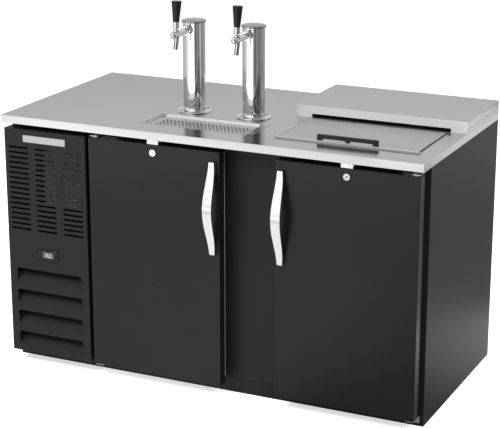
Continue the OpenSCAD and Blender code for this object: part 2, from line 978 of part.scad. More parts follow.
module tower_columns() {
    color(chrome)
        at_towers() {
            difference() {
                cylinder(r = column_r, h = column_h);
                translate([0, 0, -cut])
                    cylinder(r = column_r - column_t, h = column_h + 2 * cut);
                along_faucet()
                    cylinder(r = shank_r + seat, h = column_r + cut);
            }
            rotate_extrude()
                difference() {
                    union() {
                        square([flange_r - flange_edge, flange_t]);
                        square([flange_r, flange_t - flange_edge]);
                        translate([flange_r - flange_edge, flange_t - flange_edge])
                            circle(flange_edge);
                    }
                    translate([0, -cut])
                        square([column_r + seat, flange_t + 2 * cut]);
                }
        }
}

module tower_caps() {
    dome_r = (cap_r * cap_r + cap_dome * cap_dome) / (2 * cap_dome);
    color(chrome)
        at_towers()
            difference() {
                translate([0, 0, column_h - cap_skirt])
                    intersection() {
                        cylinder(r = cap_r, h = cap_skirt + cap_edge + cap_dome);
                        translate([0, 0, cap_skirt + cap_edge + cap_dome - dome_r])
                            sphere(dome_r, $fn = 180);
                    }
                translate([0, 0, column_h - cap_skirt - cut])
                    cylinder(r = column_r + seat, h = cap_skirt + cut);
            }
}

module flange_screws() {
    screw_dome = screw_r / 2;
    dome_r = (screw_r * screw_r + screw_dome * screw_dome) / (2 * screw_dome);
    color(zinc)
        at_towers()
            for (turn = [45 : 90 : 315])
                rotate(turn)
                    translate([screw_circle, 0, flange_t])
                        intersection() {
                            cylinder(r = screw_r, h = screw_dome);
                            translate([0, 0, screw_dome - dome_r])
                                sphere(dome_r);
                        }
}

module faucet_shanks() {
    color(chrome)
        at_towers()
            difference() {
                union() {
                    along_faucet()
                        translate([0, 0, -shank_tail])
                            cylinder(r = shank_r, h = body_back + shank_tail);
                    difference() {
                        along_faucet()
                            cylinder(r = collar_r, h = column_r + collar_t);
                        cylinder(r = column_r, h = column_h);
                    }
                    intersection() {
                        along_faucet()
                            translate([0, 0, column_r - column_t - jam_nut_t])
                                cylinder(r = jam_nut_r, h = jam_nut_t, $fn = 6);
                        cylinder(r = column_r - column_t, h = column_h);
                    }
                }
                along_faucet()
                    translate([0, 0, -shank_tail - cut])
                        cylinder(r = shank_bore, h = body_back + shank_tail + 2 * cut);
            }
}

module coupling_nut() {
    along_faucet()
        difference() {
            translate([0, 0, nut_front + nut_shoulder - nut_len])
                cylinder(r = nut_r, h = nut_len);
            translate([0, 0, nut_front + nut_shoulder - nut_len - cut])
                cylinder(r = shank_r + nut_clear, h = nut_len + 2 * cut);
            translate([0, 0, body_back - nut_clear])
                cylinder(r = body_flange_r + nut_clear, h = body_flange_t + 2 * nut_clear);
        }
}

module bonnet() {
    translate([0, -lever_out, pivot_z + bonnet_low])
        difference() {
            cylinder(r = bonnet_r, h = bonnet_top - bonnet_low);
            cylinder(r1 = bonnet_neck, r2 = bonnet_mouth, h = bonnet_top - bonnet_low);
        }
}

module faucet_nuts() {
    color(chrome)
        at_towers() {
            coupling_nut();
            bonnet();
        }
}

// Axis of the spout, z up along it to the barrel
module along_spout() {
    translate([0, -spout_out, faucet_z])
        rotate([-spout_lean, 0, 0])
            translate([0, 0, -spout_len])
                children();
}

module faucet_bodies() {
    bore_end = shaft_front + guide_len;
    color(chrome)
        at_towers()
            difference() {
                union() {
                    along_faucet() {
                        translate([0, 0, body_back])
                            cylinder(r = barrel_r, h = nose_out - body_back);
                        translate([0, 0, body_back])
                            cylinder(r = body_flange_r, h = body_flange_t);
                        translate([0, 0, nose_out])
                            sphere(nose_r);
                    }
                    translate([0, -lever_out, faucet_z])
                        cylinder(r = bonnet_r, h = lever_up + bonnet_low);
                    along_spout()
                        cylinder(r = spout_r, h = spout_len);
                }
                along_faucet()
                    translate([0, 0, body_back - cut])
                        cylinder(r = barrel_bore, h = bore_end - body_back + cut);
                along_spout()
                    translate([0, 0, -cut])
                        cylinder(r = spout_bore, h = spout_len + cut);
                translate([0, -lever_out, pivot_z]) {
                    sphere(ball_r + ball_clear);
                    cylinder(r = ball_r + ball_clear, h = bonnet_low + cut);
                }
            }
}

module tap_lever(side) {
    color(chrome)
        at_tower(side)
            at_lever()
                union() {
                    sphere(ball_r);
                    cylinder(r = stem_r, h = lever_nut_up);
                    translate([0, 0, lever_nut_up])
                        cylinder(r = lever_nut_r, h = lever_nut_h);
                    translate([0, 0, lever_nut_up + lever_nut_h])
                        cylinder(r1 = ferrule_r, r2 = grip_low_r, h = ferrule_h);
                    translate([0, 0, -lever_foot])
                        cylinder(r = lever_foot_r, h = lever_foot);
                }
}

module tap_handle(side) {
    crown_r = (grip_top_r * grip_top_r + grip_crown * grip_crown) / (2 * grip_crown);
    color(plastic_black)
        at_tower(side)
            at_lever()
                translate([0, 0, lever_nut_up + lever_nut_h + ferrule_h])
                    union() {
                        cylinder(r1 = grip_low_r, r2 = grip_top_r, h = grip_len);
                        translate([0, 0, grip_len])
                            intersection() {
                                cylinder(r = grip_top_r, h = grip_crown + seat);
                                translate([0, 0, grip_crown + seat - crown_r])
                                    sphere(crown_r, $fn = 180);
                            }
                    }
}

module valve_shaft(side) {
    color(zinc)
        at_tower(side)
            along_faucet()
                difference() {
                    union() {
                        translate([0, 0, shaft_back])
                            cylinder(r = shaft_r, h = shaft_front - shaft_back);
                        translate([0, 0, shaft_front - guide_len])
                            cylinder(r = barrel_bore - guide_clear, h = guide_len);
                        translate([0, 0, shaft_back])
                            cylinder(r = barrel_bore - guide_clear, h = seal_t);
                    }
                    translate([0, 0, slot_out])
                        cube([shaft_slot_w, 4 * shaft_r, shaft_slot_len], center = true);
                }
}

// Doors

module at_pivot() {
    translate([pivot_inset, pivot_d, 0])
        children();
}

// Room in the door for its two bushes
module bush_room(r) {
    at_pivot() {
        translate([0, 0, door_bottom - cut])
            cylinder(r = r, h = bush_len + cut);
        translate([0, 0, door_top - bush_len])
            cylinder(r = r, h = bush_len + cut);
    }
}

// Room in the door for the lock barrel and cam
module lock_room() {
    half = cam_w / 2 + cam_clear;
    reach = sqrt(cam_len * cam_len + cam_w * cam_w / 4) + cam_clear;
    slot_reach = sqrt(reach * reach - pow(lock_drop - skin_t, 2));
    room_y = cam_y + cam_t + cam_clear;
    translate([lock_x, -cut, lock_z])
        rotate([-90, 0, 0])
            cylinder(r = lock_barrel_r + seat, h = lock_len + cut);
    block(
        [lock_x - lock_barrel_r, lock_len, lock_z - lock_barrel_r],
        [lock_x + reach, room_y, door_top - skin_t]);
    block([lock_x - half, lock_len, lock_z], [lock_x + slot_reach, room_y, door_top + cut]);
}

module door_shell(side) {
    color(coat_black)
        at_door(side)
            difference() {
                block([0, 0, door_bottom], [door_w, pan_d, door_top]);
                block(
                    [skin_t, skin_t, door_bottom + skin_t],
                    [door_w - skin_t, pan_d - skin_t, door_top - skin_t]);
                block(
                    [pan_return, pan_d - 2 * skin_t, door_bottom + pan_return],
                    [door_w - pan_return, pan_d + cut, door_top - pan_return]);
                bush_room(bush_r + seat);
                lock_room();
            }
}

module door_core(side) {
    hollow = plug_inset + plug_t;
    color(foam)
        at_door(side)
            difference() {
                union() {
                    block(
                        [skin_t, skin_t, door_bottom + skin_t],
                        [door_w - skin_t, pan_d - skin_t, door_top - skin_t]);
                    block(
                        [pan_return, skin_t, door_bottom + pan_return],
                        [door_w - pan_return, pan_d, door_top - pan_return]);
                    block(
                        [hollow, pan_d, door_bottom + hollow],
                        [door_w - hollow, pan_d + plug_d - plug_t, door_top - hollow]);
                }
                bush_room(bush_r + seat);
                lock_room();
            }
}

module door_plug(side) {
    hollow = plug_inset + plug_t;
    color(plastic_black)
        at_door(side)
            difference() {
                block(
                    [plug_inset, pan_d, door_bottom + plug_inset],
                    [door_w - plug_inset, pan_d + plug_d, door_top - plug_inset]);
                block(
                    [hollow, pan_d - cut, door_bottom + hollow],
                    [door_w - hollow, pan_d + plug_d - plug_t, door_top - hollow]);
            }
}

// Ring round the door's back, inset from its edges
module gasket_ring(inset, width, y0, y1) {
    difference() {
        block([inset, y0, door_bottom + inset], [door_w - inset, y1, door_top - inset]);
        block(
            [inset + width, y0 - cut, door_bottom + inset + width],
            [door_w - inset - width, y1 + cut, door_top - inset - width]);
    }
}

module door_gasket(side) {
    back = pan_d + plug_d;
    waist = gasket_w / 6;
    color(seal_grey)
        at_door(side)
            union() {
                gasket_ring(gasket_inset, gasket_w, back, back + gasket_t / 3);
                gasket_ring(
                    gasket_inset + waist, gasket_w - 2 * waist, back + gasket_t / 3, back + 2 * gasket_t / 3);
                gasket_ring(gasket_inset, gasket_w, back + 2 * gasket_t / 3, back + gasket_t);
            }
}

// Radius of an arc from its chord and its rise
function arc_radius(chord, rise) = (chord * chord / 4 + rise * rise) / (2 * rise);

// Rise of the handle's face off the door at a height z from its middle
function bow(z) =
    handle_end_rise + (handle_mid_rise - handle_end_rise) * (1 + cos(360 * z / handle_len)) / 2;

// Area between the door's front and the bowed face less a drop
module bow_outline(length, drop, base) {
    polygon([
        [-length / 2, base],
        for (n = [-bow_steps : bow_steps])
            let (z = n * length / 2 / bow_steps)
                [z, drop - bow(z)],
        [length / 2, base]
    ]);
}

module door_handle(side) {
    waist_r = arc_radius(handle_len, (handle_mid_w - handle_end_w) / 2);
    color(chrome)
        at_door(side)
            translate([door_w - handle_edge, 0, door_top - handle_drop])
                intersection() {
                    rotate([0, -90, 0])
                        translate([0, 0, -handle_mid_w])
                            linear_extrude(2 * handle_mid_w)
                                difference() {
                                    bow_outline(handle_len, 0, 0);
                                    bow_outline(handle_len - 2 * handle_foot, handle_t, cut);
                                }
                    rotate([90, 0, 0])
                        linear_extrude(handle_mid_rise + cut)
                            intersection() {
                                translate([waist_r - handle_mid_w / 2, 0])
                                    circle(waist_r, $fn = 4 * long_fn);
                                translate([handle_mid_w / 2 - waist_r, 0])
                                    circle(waist_r, $fn = 4 * long_fn);
                            }
                }
}

module door_bushes(side) {
    color(nylon)
        at_door(side)
            at_pivot() {
                difference() {
                    union() {
                        translate([0, 0, door_top - bush_len])
                            cylinder(r = bush_r, h = bush_len);
                        translate([0, 0, door_top])
                            cylinder(r = bush_flange_r, h = bush_flange_t);
                    }
                    translate([0, 0, door_top - bush_len - cut])
                        cylinder(r = pin_r + pin_clear, h = bush_len + bush_flange_t + 2 * cut);
                }
                difference() {
                    union() {
                        translate([0, 0, door_bottom])
                            cylinder(r = bush_r, h = bush_len);
                        translate([0, 0, door_bottom - bush_flange_t])
                            cylinder(r = bush_flange_r, h = bush_flange_t);
                    }
                    translate([0, 0, door_bottom - bush_flange_t - cut])
                        cylinder(r = pin_r + pin_clear, h = bush_len + bush_flange_t + 2 * cut);
                }
            }
}

module at_lock(side) {
    at_door(side)
        translate([lock_x, 0, lock_z])
            rotate([-90, 0, 0])
                children();
}

module lock_barrel(side) {
    color(chrome)
        at_lock(side)
            difference() {
                union() {
                    translate([0, 0, -lock_face_t])
                        cylinder(r = lock_face_r, h = lock_face_t);
                    cylinder(r = lock_barrel_r, h = lock_len);
                }
                translate([0, 0, -lock_face_t - cut])
                    cylinder(r = lock_plug_r + lock_clear, h = lock_face_t + lock_len + 2 * cut);
            }
}

module lock_plug(side) {
    key_slot_w = 2;
    key_slot_d = 6;
    color(zinc)
        at_lock(side)
            difference() {
                union() {
                    translate([0, 0, -lock_face_t])
                        cylinder(r = lock_plug_r, h = lock_face_t + cam_y);
                    translate([0, 0, cam_y])
                        linear_extrude(cam_t)
                            union() {
                                circle(cam_w / 2);
                                translate([0, -cam_w / 2])
                                    square([cam_len, cam_w]);
                            }
                }
                translate([0, 0, -lock_face_t - cut + (key_slot_d + cut) / 2])
                    cube([key_slot_w, 1.2 * lock_plug_r, key_slot_d + cut], center = true);
            }
}

// Strikes and hinges

module lock_strikes() {
    hook_y = cam_y - cam_clear;
    hook_z = lock_z + cam_len - strike_hold;
    color(zinc)
        at_doors()
            translate([lock_x, 0, 0])
                union() {
                    block([-strike_w / 2, 0, door_top + strike_gap], [strike_w / 2, strike_t, top_under]);
                    block([-strike_w / 2, 0, top_under - strike_t], [strike_w / 2, hook_y, top_under]);
                    block([-strike_w / 2, hook_y - strike_t, hook_z], [strike_w / 2, hook_y, top_under]);
                }
}

// Hinge plate: arm with the pin's hole, and foot on the face frame
module hinge_plate(foot_w) {
    linear_extrude(bracket_t)
        difference() {
            union() {
                translate([bracket_x, pivot_d - bracket_nose_r])
                    square([pivot_inset + bracket_nose_r - bracket_x, face_d - pivot_d + bracket_nose_r]);
                translate([bracket_x, face_d - foot_d])
                    square([foot_w, foot_d]);
            }
            translate([pivot_inset, pivot_d])
                circle(pin_r + seat);
        }
}

module hinge_brackets() {
    color(zinc)
        at_doors() {
            union() {
                translate([0, 0, upper_plate_z])
                    hinge_plate(upper_foot_w);
                block(
                    [bracket_x, face_d - bracket_t, upper_plate_z],
                    [bracket_x + upper_foot_w, face_d, top_under]);
            }
            union() {
                translate([0, 0, lower_plate_z])
                    hinge_plate(lower_foot_w);
                block(
                    [bracket_x, face_d - bracket_t, lower_plate_z - lower_leg_h],
                    [bracket_x + lower_foot_w, face_d, lower_plate_z]);
            }
        }
}

module hinge_pins() {
    upper_head = upper_plate_z + bracket_t;
    color(zinc)
        at_doors()
            at_pivot() {
                union() {
                    translate([0, 0, door_top - pin_in])
                        cylinder(r = pin_r, h = upper_head - door_top + pin_in);
                    translate([0, 0, upper_head])
                        cylinder(r = pin_head_r, h = pin_head_h);
                }
                union() {
                    translate([0, 0, lower_plate_z])
                        cylinder(r = pin_r, h = door_bottom + pin_in - lower_plate_z);
                    translate([0, 0, lower_plate_z - pin_head_h])
                        cylinder(r = pin_head_r, h = pin_head_h);
                }
            }
}

// Grille panel and controller

module at_panel() {
    translate([(panel_x0 + panel_x1) / 2, front_y, door_bottom])
        children();
}

// Opening of one louvre, with round upper corners
module louvre_outline() {
    difference() {
        translate([0, louvre_h / 2])
            round_outline(louvre_w, louvre_h, louvre_r);
        translate([-louvre_w / 2, -cut])
            square([louvre_w, cut]);
    }
    translate([-louvre_w / 2, 0])
        square([louvre_w, louvre_h - louvre_r]);
}

// Scoop behind one louvre: a ramp climbing inward between two cheeks
module louvre_scoop() {
    slant_t = skin_t * sqrt(1 + pow(louvre_rise / louvre_d, 2));
    rotate([90, 0, 90])
        translate([0, 0, -louvre_w / 2 - skin_t])
            linear_extrude(louvre_w + 2 * skin_t)
                polygon([[0, 0], [louvre_d, louvre_rise], [louvre_d, louvre_rise - slant_t], [0, -slant_t]]);
    for (x = [-louvre_w / 2 - skin_t, louvre_w / 2])
        translate([x, 0, 0])
            rotate([90, 0, 90])
                linear_extrude(skin_t)
                    polygon([[0, 0], [louvre_d, louvre_rise], [0, louvre_rise]]);
}

module grille_panel() {
    half_w = panel_w / 2;
    panel_h = panel_top - door_bottom;
    color(coat_black)
        at_panel()
            union() {
                difference() {
                    block([-half_w, 0, 0], [half_w, face_d, panel_h]);
                    block(
                        [-half_w + skin_t, skin_t, skin_t],
                        [half_w - skin_t, face_d + cut, panel_h - skin_t]);
                    for (col = [0 : slot_cols - 1], row = [0 : slot_rows - 1])
                        translate([
                            (col - (slot_cols - 1) / 2) * slot_col_pitch,
                            0,
                            panel_h - slot_drop - row * slot_pitch
                        ])
                            cube([slot_w, 4 * skin_t, slot_h], center = true);
                    for (n = [0 : louvre_count - 1])
                        translate([0, 2 * skin_t, louvre_foot + n * louvre_pitch])
                            rotate([90, 0, 0])
                                linear_extrude(4 * skin_t)
                                    louvre_outline();
                    translate([0, 0, bezel_up])
                        cube([bezel_w - 2 * bezel_lip, 4 * skin_t, bezel_h - 2 * bezel_lip], center = true);
                }
                for (n = [0 : louvre_count - 1])
                    translate([0, 0, louvre_foot + n * louvre_pitch])
                        louvre_scoop();
            }
}

// Places pieces on the controller's face, y inward from the panel's front
module at_controller() {
    at_panel()
        translate([0, 0, bezel_up])
            children();
}

// Turns a flat outline into a piece running inward from y0 to y1
module inward(y0, y1) {
    translate([0, y1, 0])
        rotate([90, 0, 0])
            linear_extrude(y1 - y0)
                children();
}

module at_key(column, row) {
    translate([column * key_side, 0, row * key_pitch / 2])
        children();
}

module controller_case() {
    key_back = key_t - key_out - bezel_t;
    body_w = bezel_w - 2 * bezel_lip - 2 * seat;
    body_h = bezel_h - 2 * bezel_lip - 2 * seat;
    bezel_r = 2;
    color(plastic_black)
        at_controller()
            difference() {
                union() {
                    inward(-bezel_t, 0)
                        round_outline(bezel_w, bezel_h, bezel_r);
                    block([-body_w / 2, 0, -body_h / 2], [body_w / 2, case_d, body_h / 2]);
                }
                inward(-bezel_t - cut, -bezel_t + lens_t)
                    square([window_w + 2 * seat, window_h + 2 * seat], center = true);
                for (column = [-1, 1], row = [-1, 1])
                    at_key(column, row)
                        inward(-bezel_t - cut, key_back + key_travel + key_clear)
                            round_outline(key_w + 2 * key_clear, key_h + 2 * key_clear, key_r + key_clear);
            }
}

module display_lens() {
    color(lens_dark)
        at_controller()
            inward(-bezel_t, -bezel_t + lens_t)
                square([window_w, window_h], center = true);
}

module key_cap(column, row) {
    color(plastic_black)
        at_controller()
            at_key(column, row)
                inward(-bezel_t - key_out, -bezel_t - key_out + key_t)
                    round_outline(key_w, key_h, key_r);
}

module key_set() { key_cap(-1, 1); }
module key_lamp() { key_cap(-1, -1); }
module key_up() { key_cap(1, 1); }
module key_down() { key_cap(1, -1); }

// Refrigeration

module compressor() {
    seam_t = 5;
    plate_t = 3;
    shoulder = pot_r / 3;
    foot_side = pot_r * 0.85;
    foot_r2 = 12;
    plate_w = 2 * (foot_side + foot_r2);
    plate_top = pot_foot_h + plate_t;
    color(frame_black)
        translate([machine_x, coil_y0 + pot_setback, base_t])
            difference() {
                union() {
                    for (sx = [-1, 1], sy = [-1, 1])
                        translate([sx * foot_side, sy * foot_side, 0])
                            cylinder(r = foot_r2, h = pot_foot_h);
                    translate([-plate_w / 2, -plate_w / 2, pot_foot_h])
                        cube([plate_w, plate_w, plate_t]);
                    translate([0, 0, plate_top])
                        rotate_extrude() {
                            square([pot_r, pot_h - shoulder]);
                            square([pot_r - shoulder, pot_h]);
                            translate([pot_r - shoulder, pot_h - shoulder])
                                intersection() {
                                    circle(shoulder);
                                    square(shoulder);
                                }
                            translate([0, pot_h / 2])
                                square([pot_r + seam_t, seam_t]);
                        }
                    translate([pot_r - shoulder, -shoulder, plate_top + pot_h / 4])
                        cube([2 * shoulder, 2 * shoulder, pot_h / 4]);
                }
                translate([0, 0, -cut])
                    cylinder(r = pot_r - pot_t, h = plate_top + pot_h - shoulder + cut);
            }
}

// Block of fins spread along x with tubes through them
module fin_block(w, d, h) {
    step = (w - fin_t) / (fin_count - 1);
    for (n = [0 : fin_count - 1])
        translate([n * step, 0, 0])
            cube([fin_t, d, h]);
    for (n = [0 : tube_count - 1])
        translate([0, d / 2, (n + 0.5) * h / tube_count])
            rotate([0, 90, 0])
                cylinder(r = tube_r, h = w);
}

module condenser_coil() {
    color(fin_grey)
        translate([coil_x0, coil_y0, coil_z])
            union()
                fin_block(coil_w, coil_d, coil_h);
}

// Arms and boss that carry a motor, z along the fan's axis
module motor_spider(can_r, reach, turns) {
    difference() {
        union() {
            cylinder(r = 1.15 * can_r, h = spider_t);
            for (turn = turns)
                rotate(turn)
                    translate([0, -spider_w / 2, 0])
                        cube([reach, spider_w, 0.75 * spider_t]);
        }
        translate([0, 0, -cut])
            cylinder(r = 1.25 * fan_shaft_r, h = spider_t + 2 * cut);
    }
}

// Motor can bored for the fan's shaft, z away from the fan
module motor_can(r, length) {
    difference() {
        cylinder(r = r, h = length);
        translate([0, 0, -cut])
            cylinder(r = fan_shaft_r + fan_clear, h = length / 2 + cut);
    }
}

module fan_shroud() {
    flange_x1 = bulk_x - skin_t;
    color(frame_black)
        union() {
            difference() {
                block([coil_x0, coil_y1, coil_z], [coil_x0 + coil_w, shroud_y1, coil_z + coil_h]);
                block(
                    [coil_x0 + shroud_t, coil_y1 - cut, coil_z + shroud_t],
                    [coil_x0 + coil_w - shroud_t, shroud_y1 - shroud_t, coil_z + coil_h - shroud_t]);
                translate([fan_x, coil_y1, fan_z])
                    rotate([-90, 0, 0])
                        cylinder(r = fan_r + fan_gap, h = shroud_d + cut);
            }
            block([coil_x0 + coil_w, coil_y1, coil_z], [flange_x1, coil_y1 + shroud_t, coil_z + coil_h]);
            translate([fan_x, shroud_y1 + seat, fan_z])
                rotate([-90, 0, 0]) {
                    motor_spider(motor_r, fan_r + 2 * fan_gap, [45 : 90 : 315]);
                    translate([0, 0, spider_t])
                        motor_can(motor_r, motor_len);
                }
        }
}

// Fan wheel with its shaft, z away from the motor
module fan_wheel(tip_r, shaft_len) {
    blade_pitch = 32;
    union() {
        cylinder(r = hub_r, h = fan_d);
        translate([0, 0, -shaft_len])
            cylinder(r = fan_shaft_r, h = shaft_len);
        intersection() {
            cylinder(r = tip_r, h = fan_d);
            for (n = [0 : blade_count - 1])
                rotate(n * 360 / blade_count)
                    translate([0, 0, fan_d / 2])
                        rotate([blade_pitch, 0, 0])
                            translate([hub_r / 2, -tip_r / 3, -blade_t / 2])
                                cube([tip_r, 2 * tip_r / 3, blade_t]);
        }
    }
}

module condenser_fan() {
    play = 3;
    color(plastic_black)
        translate([fan_x, shroud_y1 - play, fan_z])
            rotate([90, 0, 0])
                fan_wheel(fan_r, play + spider_t + motor_len / 2 - 2 * cut);
}

module evaporator_coil() {
    color(fin_grey)
        translate([int_x0 + shroud_t, evap_y0 + shroud_t, evap_z + shroud_t])
            mirror([1, -1, 0])
                union()
                    fin_block(evap_w - 2 * shroud_t, evap_x / 2, evap_coil_h);
}

module at_evap_fan() {
    translate([evap_x1, evap_fan_y, evap_fan_z])
        rotate([0, -90, 0])
            children();
}

module evaporator_cover() {
    color(liner_grey)
        union() {
            difference() {
                block([int_x0, evap_y0, evap_z], [evap_x1, evap_y1, evap_z + evap_h]);
                block(
                    [int_x0 - cut, evap_y0 + shroud_t, evap_z + shroud_t],
                    [evap_x1 - shroud_t, evap_y1 - shroud_t, evap_z + evap_h - shroud_t]);
                at_evap_fan()
                    translate([0, 0, -cut])
                        cylinder(r = evap_fan_r + fan_gap, h = shroud_t + 2 * cut);
                for (n = [1 : evap_slots])
                    translate([evap_x1, evap_fan_y, evap_z + n * evap_coil_h / (evap_slots + 1)])
                        cube([4 * shroud_t, 0.7 * evap_w, evap_slot_h], center = true);
            }
            at_evap_fan() {
                translate([0, 0, fan_d + spider_t])
                    motor_spider(evap_motor_r, (evap_w - shroud_t) / 2, [90, 270]);
                translate([0, 0, fan_d + 2 * spider_t])
                    motor_can(evap_motor_r, evap_motor_len);
            }
        }
}

module evaporator_fan() {
    color(plastic_black)
        at_evap_fan()
            translate([0, 0, fan_d])
                mirror([0, 0, 1])
                    fan_wheel(evap_fan_r, 2 * spider_t + evap_motor_len / 2 - cut);
}

base_pan();
side_panels();
back_panel();
insulation_panels();
insulation_top();
inner_liner();
front_frame();
worktop();
worktop_core();
raised_shelf();
lid_track();
drip_tray();
tower_columns();
tower_caps();
flange_screws();
faucet_shanks();
faucet_nuts();
faucet_bodies();
lock_strikes();
hinge_brackets();
hinge_pins();
grille_panel();
controller_case();
display_lens();
compressor();
condenser_coil();
fan_shroud();
evaporator_coil();
evaporator_cover();
door_shell(left);  // left_door_shell
door_core(left);  // left_door_core
door_plug(left);  // left_door_plug
door_gasket(left);  // left_door_gasket
door_handle(left);  // left_door_handle
door_bushes(left);  // left_door_bushes
lock_barrel(left);  // left_lock_barrel
lock_plug(left);  // left_lock_plug
door_shell(right);  // right_door_shell
door_core(right);  // right_door_core
door_plug(right);  // right_door_plug
door_gasket(right);  // right_door_gasket
door_handle(right);  // right_door_handle
door_bushes(right);  // right_door_bushes
lock_barrel(right);  // right_lock_barrel
lock_plug(right);  // right_lock_plug
lid();
lid_handle();
drip_grille();
tap_lever(left);  // left_tap_lever
tap_handle(left);  // left_tap_handle
valve_shaft(left);  // left_valve_shaft
tap_lever(right);  // right_tap_lever
tap_handle(right);  // right_tap_handle
valve_shaft(right);  // right_valve_shaft
condenser_fan();
evaporator_fan();
key_set();
key_up();
key_down();
key_lamp();
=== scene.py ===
"""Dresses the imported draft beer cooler: finishes, small fittings, studio and camera.

Sizes are millimetres in the part's own frame, and metres in the studio: +Z up, the doors face -Y
and the origin lies on the floor under the middle of the worktop.
"""

import json
import logging
import math
from dataclasses import dataclass, field
from enum import Enum
from typing import Any, Sequence

import bmesh
import bpy
from bmesh.types import BMVert, BMesh
from bpy.types import Material, Node, NodeSocket, NodeTree, Object, World
from mathutils import Matrix, Vector

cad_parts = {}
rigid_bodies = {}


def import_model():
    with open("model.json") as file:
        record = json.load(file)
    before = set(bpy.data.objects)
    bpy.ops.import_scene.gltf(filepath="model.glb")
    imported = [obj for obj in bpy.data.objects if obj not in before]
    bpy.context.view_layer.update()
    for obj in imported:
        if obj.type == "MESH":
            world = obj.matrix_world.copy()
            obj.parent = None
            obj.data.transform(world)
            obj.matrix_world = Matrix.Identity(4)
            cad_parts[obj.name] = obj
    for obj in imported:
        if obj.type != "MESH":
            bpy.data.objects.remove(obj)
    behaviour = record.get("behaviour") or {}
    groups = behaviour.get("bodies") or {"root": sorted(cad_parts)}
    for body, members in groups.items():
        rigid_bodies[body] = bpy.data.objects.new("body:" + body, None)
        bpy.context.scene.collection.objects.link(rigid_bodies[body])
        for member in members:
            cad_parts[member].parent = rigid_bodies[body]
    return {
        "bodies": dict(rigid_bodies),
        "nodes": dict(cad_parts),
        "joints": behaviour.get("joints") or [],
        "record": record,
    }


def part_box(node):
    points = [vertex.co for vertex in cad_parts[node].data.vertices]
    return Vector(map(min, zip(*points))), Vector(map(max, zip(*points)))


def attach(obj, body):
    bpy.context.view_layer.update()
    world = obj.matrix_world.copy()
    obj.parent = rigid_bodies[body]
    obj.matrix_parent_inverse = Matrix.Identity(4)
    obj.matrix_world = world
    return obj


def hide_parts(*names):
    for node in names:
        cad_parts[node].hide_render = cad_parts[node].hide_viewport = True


MM = 0.001
WELD_GAP = 2e-6
CREASE_DEG = 40.0
EDGE_STEPS = 2
WHITE = "#ffffff"
LOG = logging.getLogger("beer_cooler")

Frame = dict[str, Any]
Inputs = dict[str | int, Any]
Outline = list[tuple[float, float]]
Rows = list[list[tuple[Vector, float]]]
# where the lights of most screens are given, in degrees from -Y towards +X
BEARINGS = (-180, -75, -40, -15, 3, 20, 38, 60, 78, 95, 125, 160, 180)


class Side(Enum):
    """The two ends of a pair, with the sign of its X."""

    LEFT = -1
    RIGHT = 1

    @property
    def word(self) -> str:
        """Name of the side as the part's nodes and bodies write it."""
        return self.name.lower()


class Mark(Enum):
    """Signs printed on the controller's keys."""

    SQUARE = "set"
    ROUND = "lamp"
    UP = "up"
    DOWN = "down"


def linear(shade: str) -> tuple[float, float, float, float]:
    """Turns an sRGB hex value into linear light.

    Args:
        shade: Six hex digits after a hash sign.
    Returns:
        Red, green, blue and an alpha of 1.
    """
    parts = [int(shade[n : n + 2], 16) / 255 for n in (1, 3, 5)]
    light = [p / 12.92 if p <= 0.04045 else ((p + 0.055) / 1.055) ** 2.4 for p in parts]
    return (light[0], light[1], light[2], 1.0)


def per_metre(size_mm: float) -> float:
    """Repeats of a pattern in one metre, from the size of one repeat in millimetres."""
    return 1000.0 / size_mm


def add_node(tree: NodeTree, kind: str, inputs: Inputs | None = None, **settings: Any) -> Node:
    """Adds one node with its settings, values and links.

    Args:
        tree: Node tree that takes the node.
        kind: Type name of the node.
        inputs: Value or linked output socket for each input, by name or number.
        settings: Properties of the node itself.
    Returns:
        The new node.
    """
    node = tree.nodes.new(kind)
    for key, value in settings.items():
        setattr(node, key, value)
    for key, value in (inputs or {}).items():
        if isinstance(value, NodeSocket):
            tree.links.new(value, node.inputs[key])
        else:
            node.inputs[key].default_value = value
    return node


def bare_tree(owner: Material | World) -> NodeTree:
    """Gives a new material or world its node tree.

    Args:
        owner: The material or world.
    Returns:
        The tree, with nothing in it yet.
    """
    owner.use_nodes = True
    owner.node_tree.nodes.clear()
    return owner.node_tree


def new_object(name: str, mesh: BMesh, material: Material) -> Object:
    """Puts a mesh in the scene.

    Args:
        name: Name of the object.
        mesh: Its faces, freed here.
        material: What they are made of.
    Returns:
        The new object.
    """
    data = bpy.data.meshes.new(name)
    mesh.to_mesh(data)
    mesh.free()
    data.materials.append(material)
    made = bpy.data.objects.new(name, data)
    bpy.context.scene.collection.objects.link(made)
    return made


@dataclass(frozen=True)
class Finish:
    """A surface as it was made: its base colour, gloss and the pattern that its making leaves."""

    name: str
    colour: str
    roughness: float
    metallic: float = 0.0
    specular: float = 0.5

    def texture(self, tree: NodeTree, place: NodeSocket) -> Inputs:
        """Pattern of the surface as shader inputs; none on a plain one."""
        return {}

    def build(self) -> Material:
        """Makes the material.

        Returns:
            A node material with one Principled shader.
        """
        material = bpy.data.materials.new(self.name)
        tree = bare_tree(material)
        inputs: Inputs = {
            "Base Color": linear(self.colour),
            "Metallic": self.metallic,
            "Roughness": self.roughness,
            "Specular IOR Level": self.specular,
        }
        place = add_node(tree, "ShaderNodeTexCoord").outputs["Object"]
        inputs.update(self.texture(tree, place))
        shader = add_node(tree, "ShaderNodeBsdfPrincipled", inputs)
        add_node(tree, "ShaderNodeOutputMaterial", {"Surface": shader.outputs[0]})
        return material


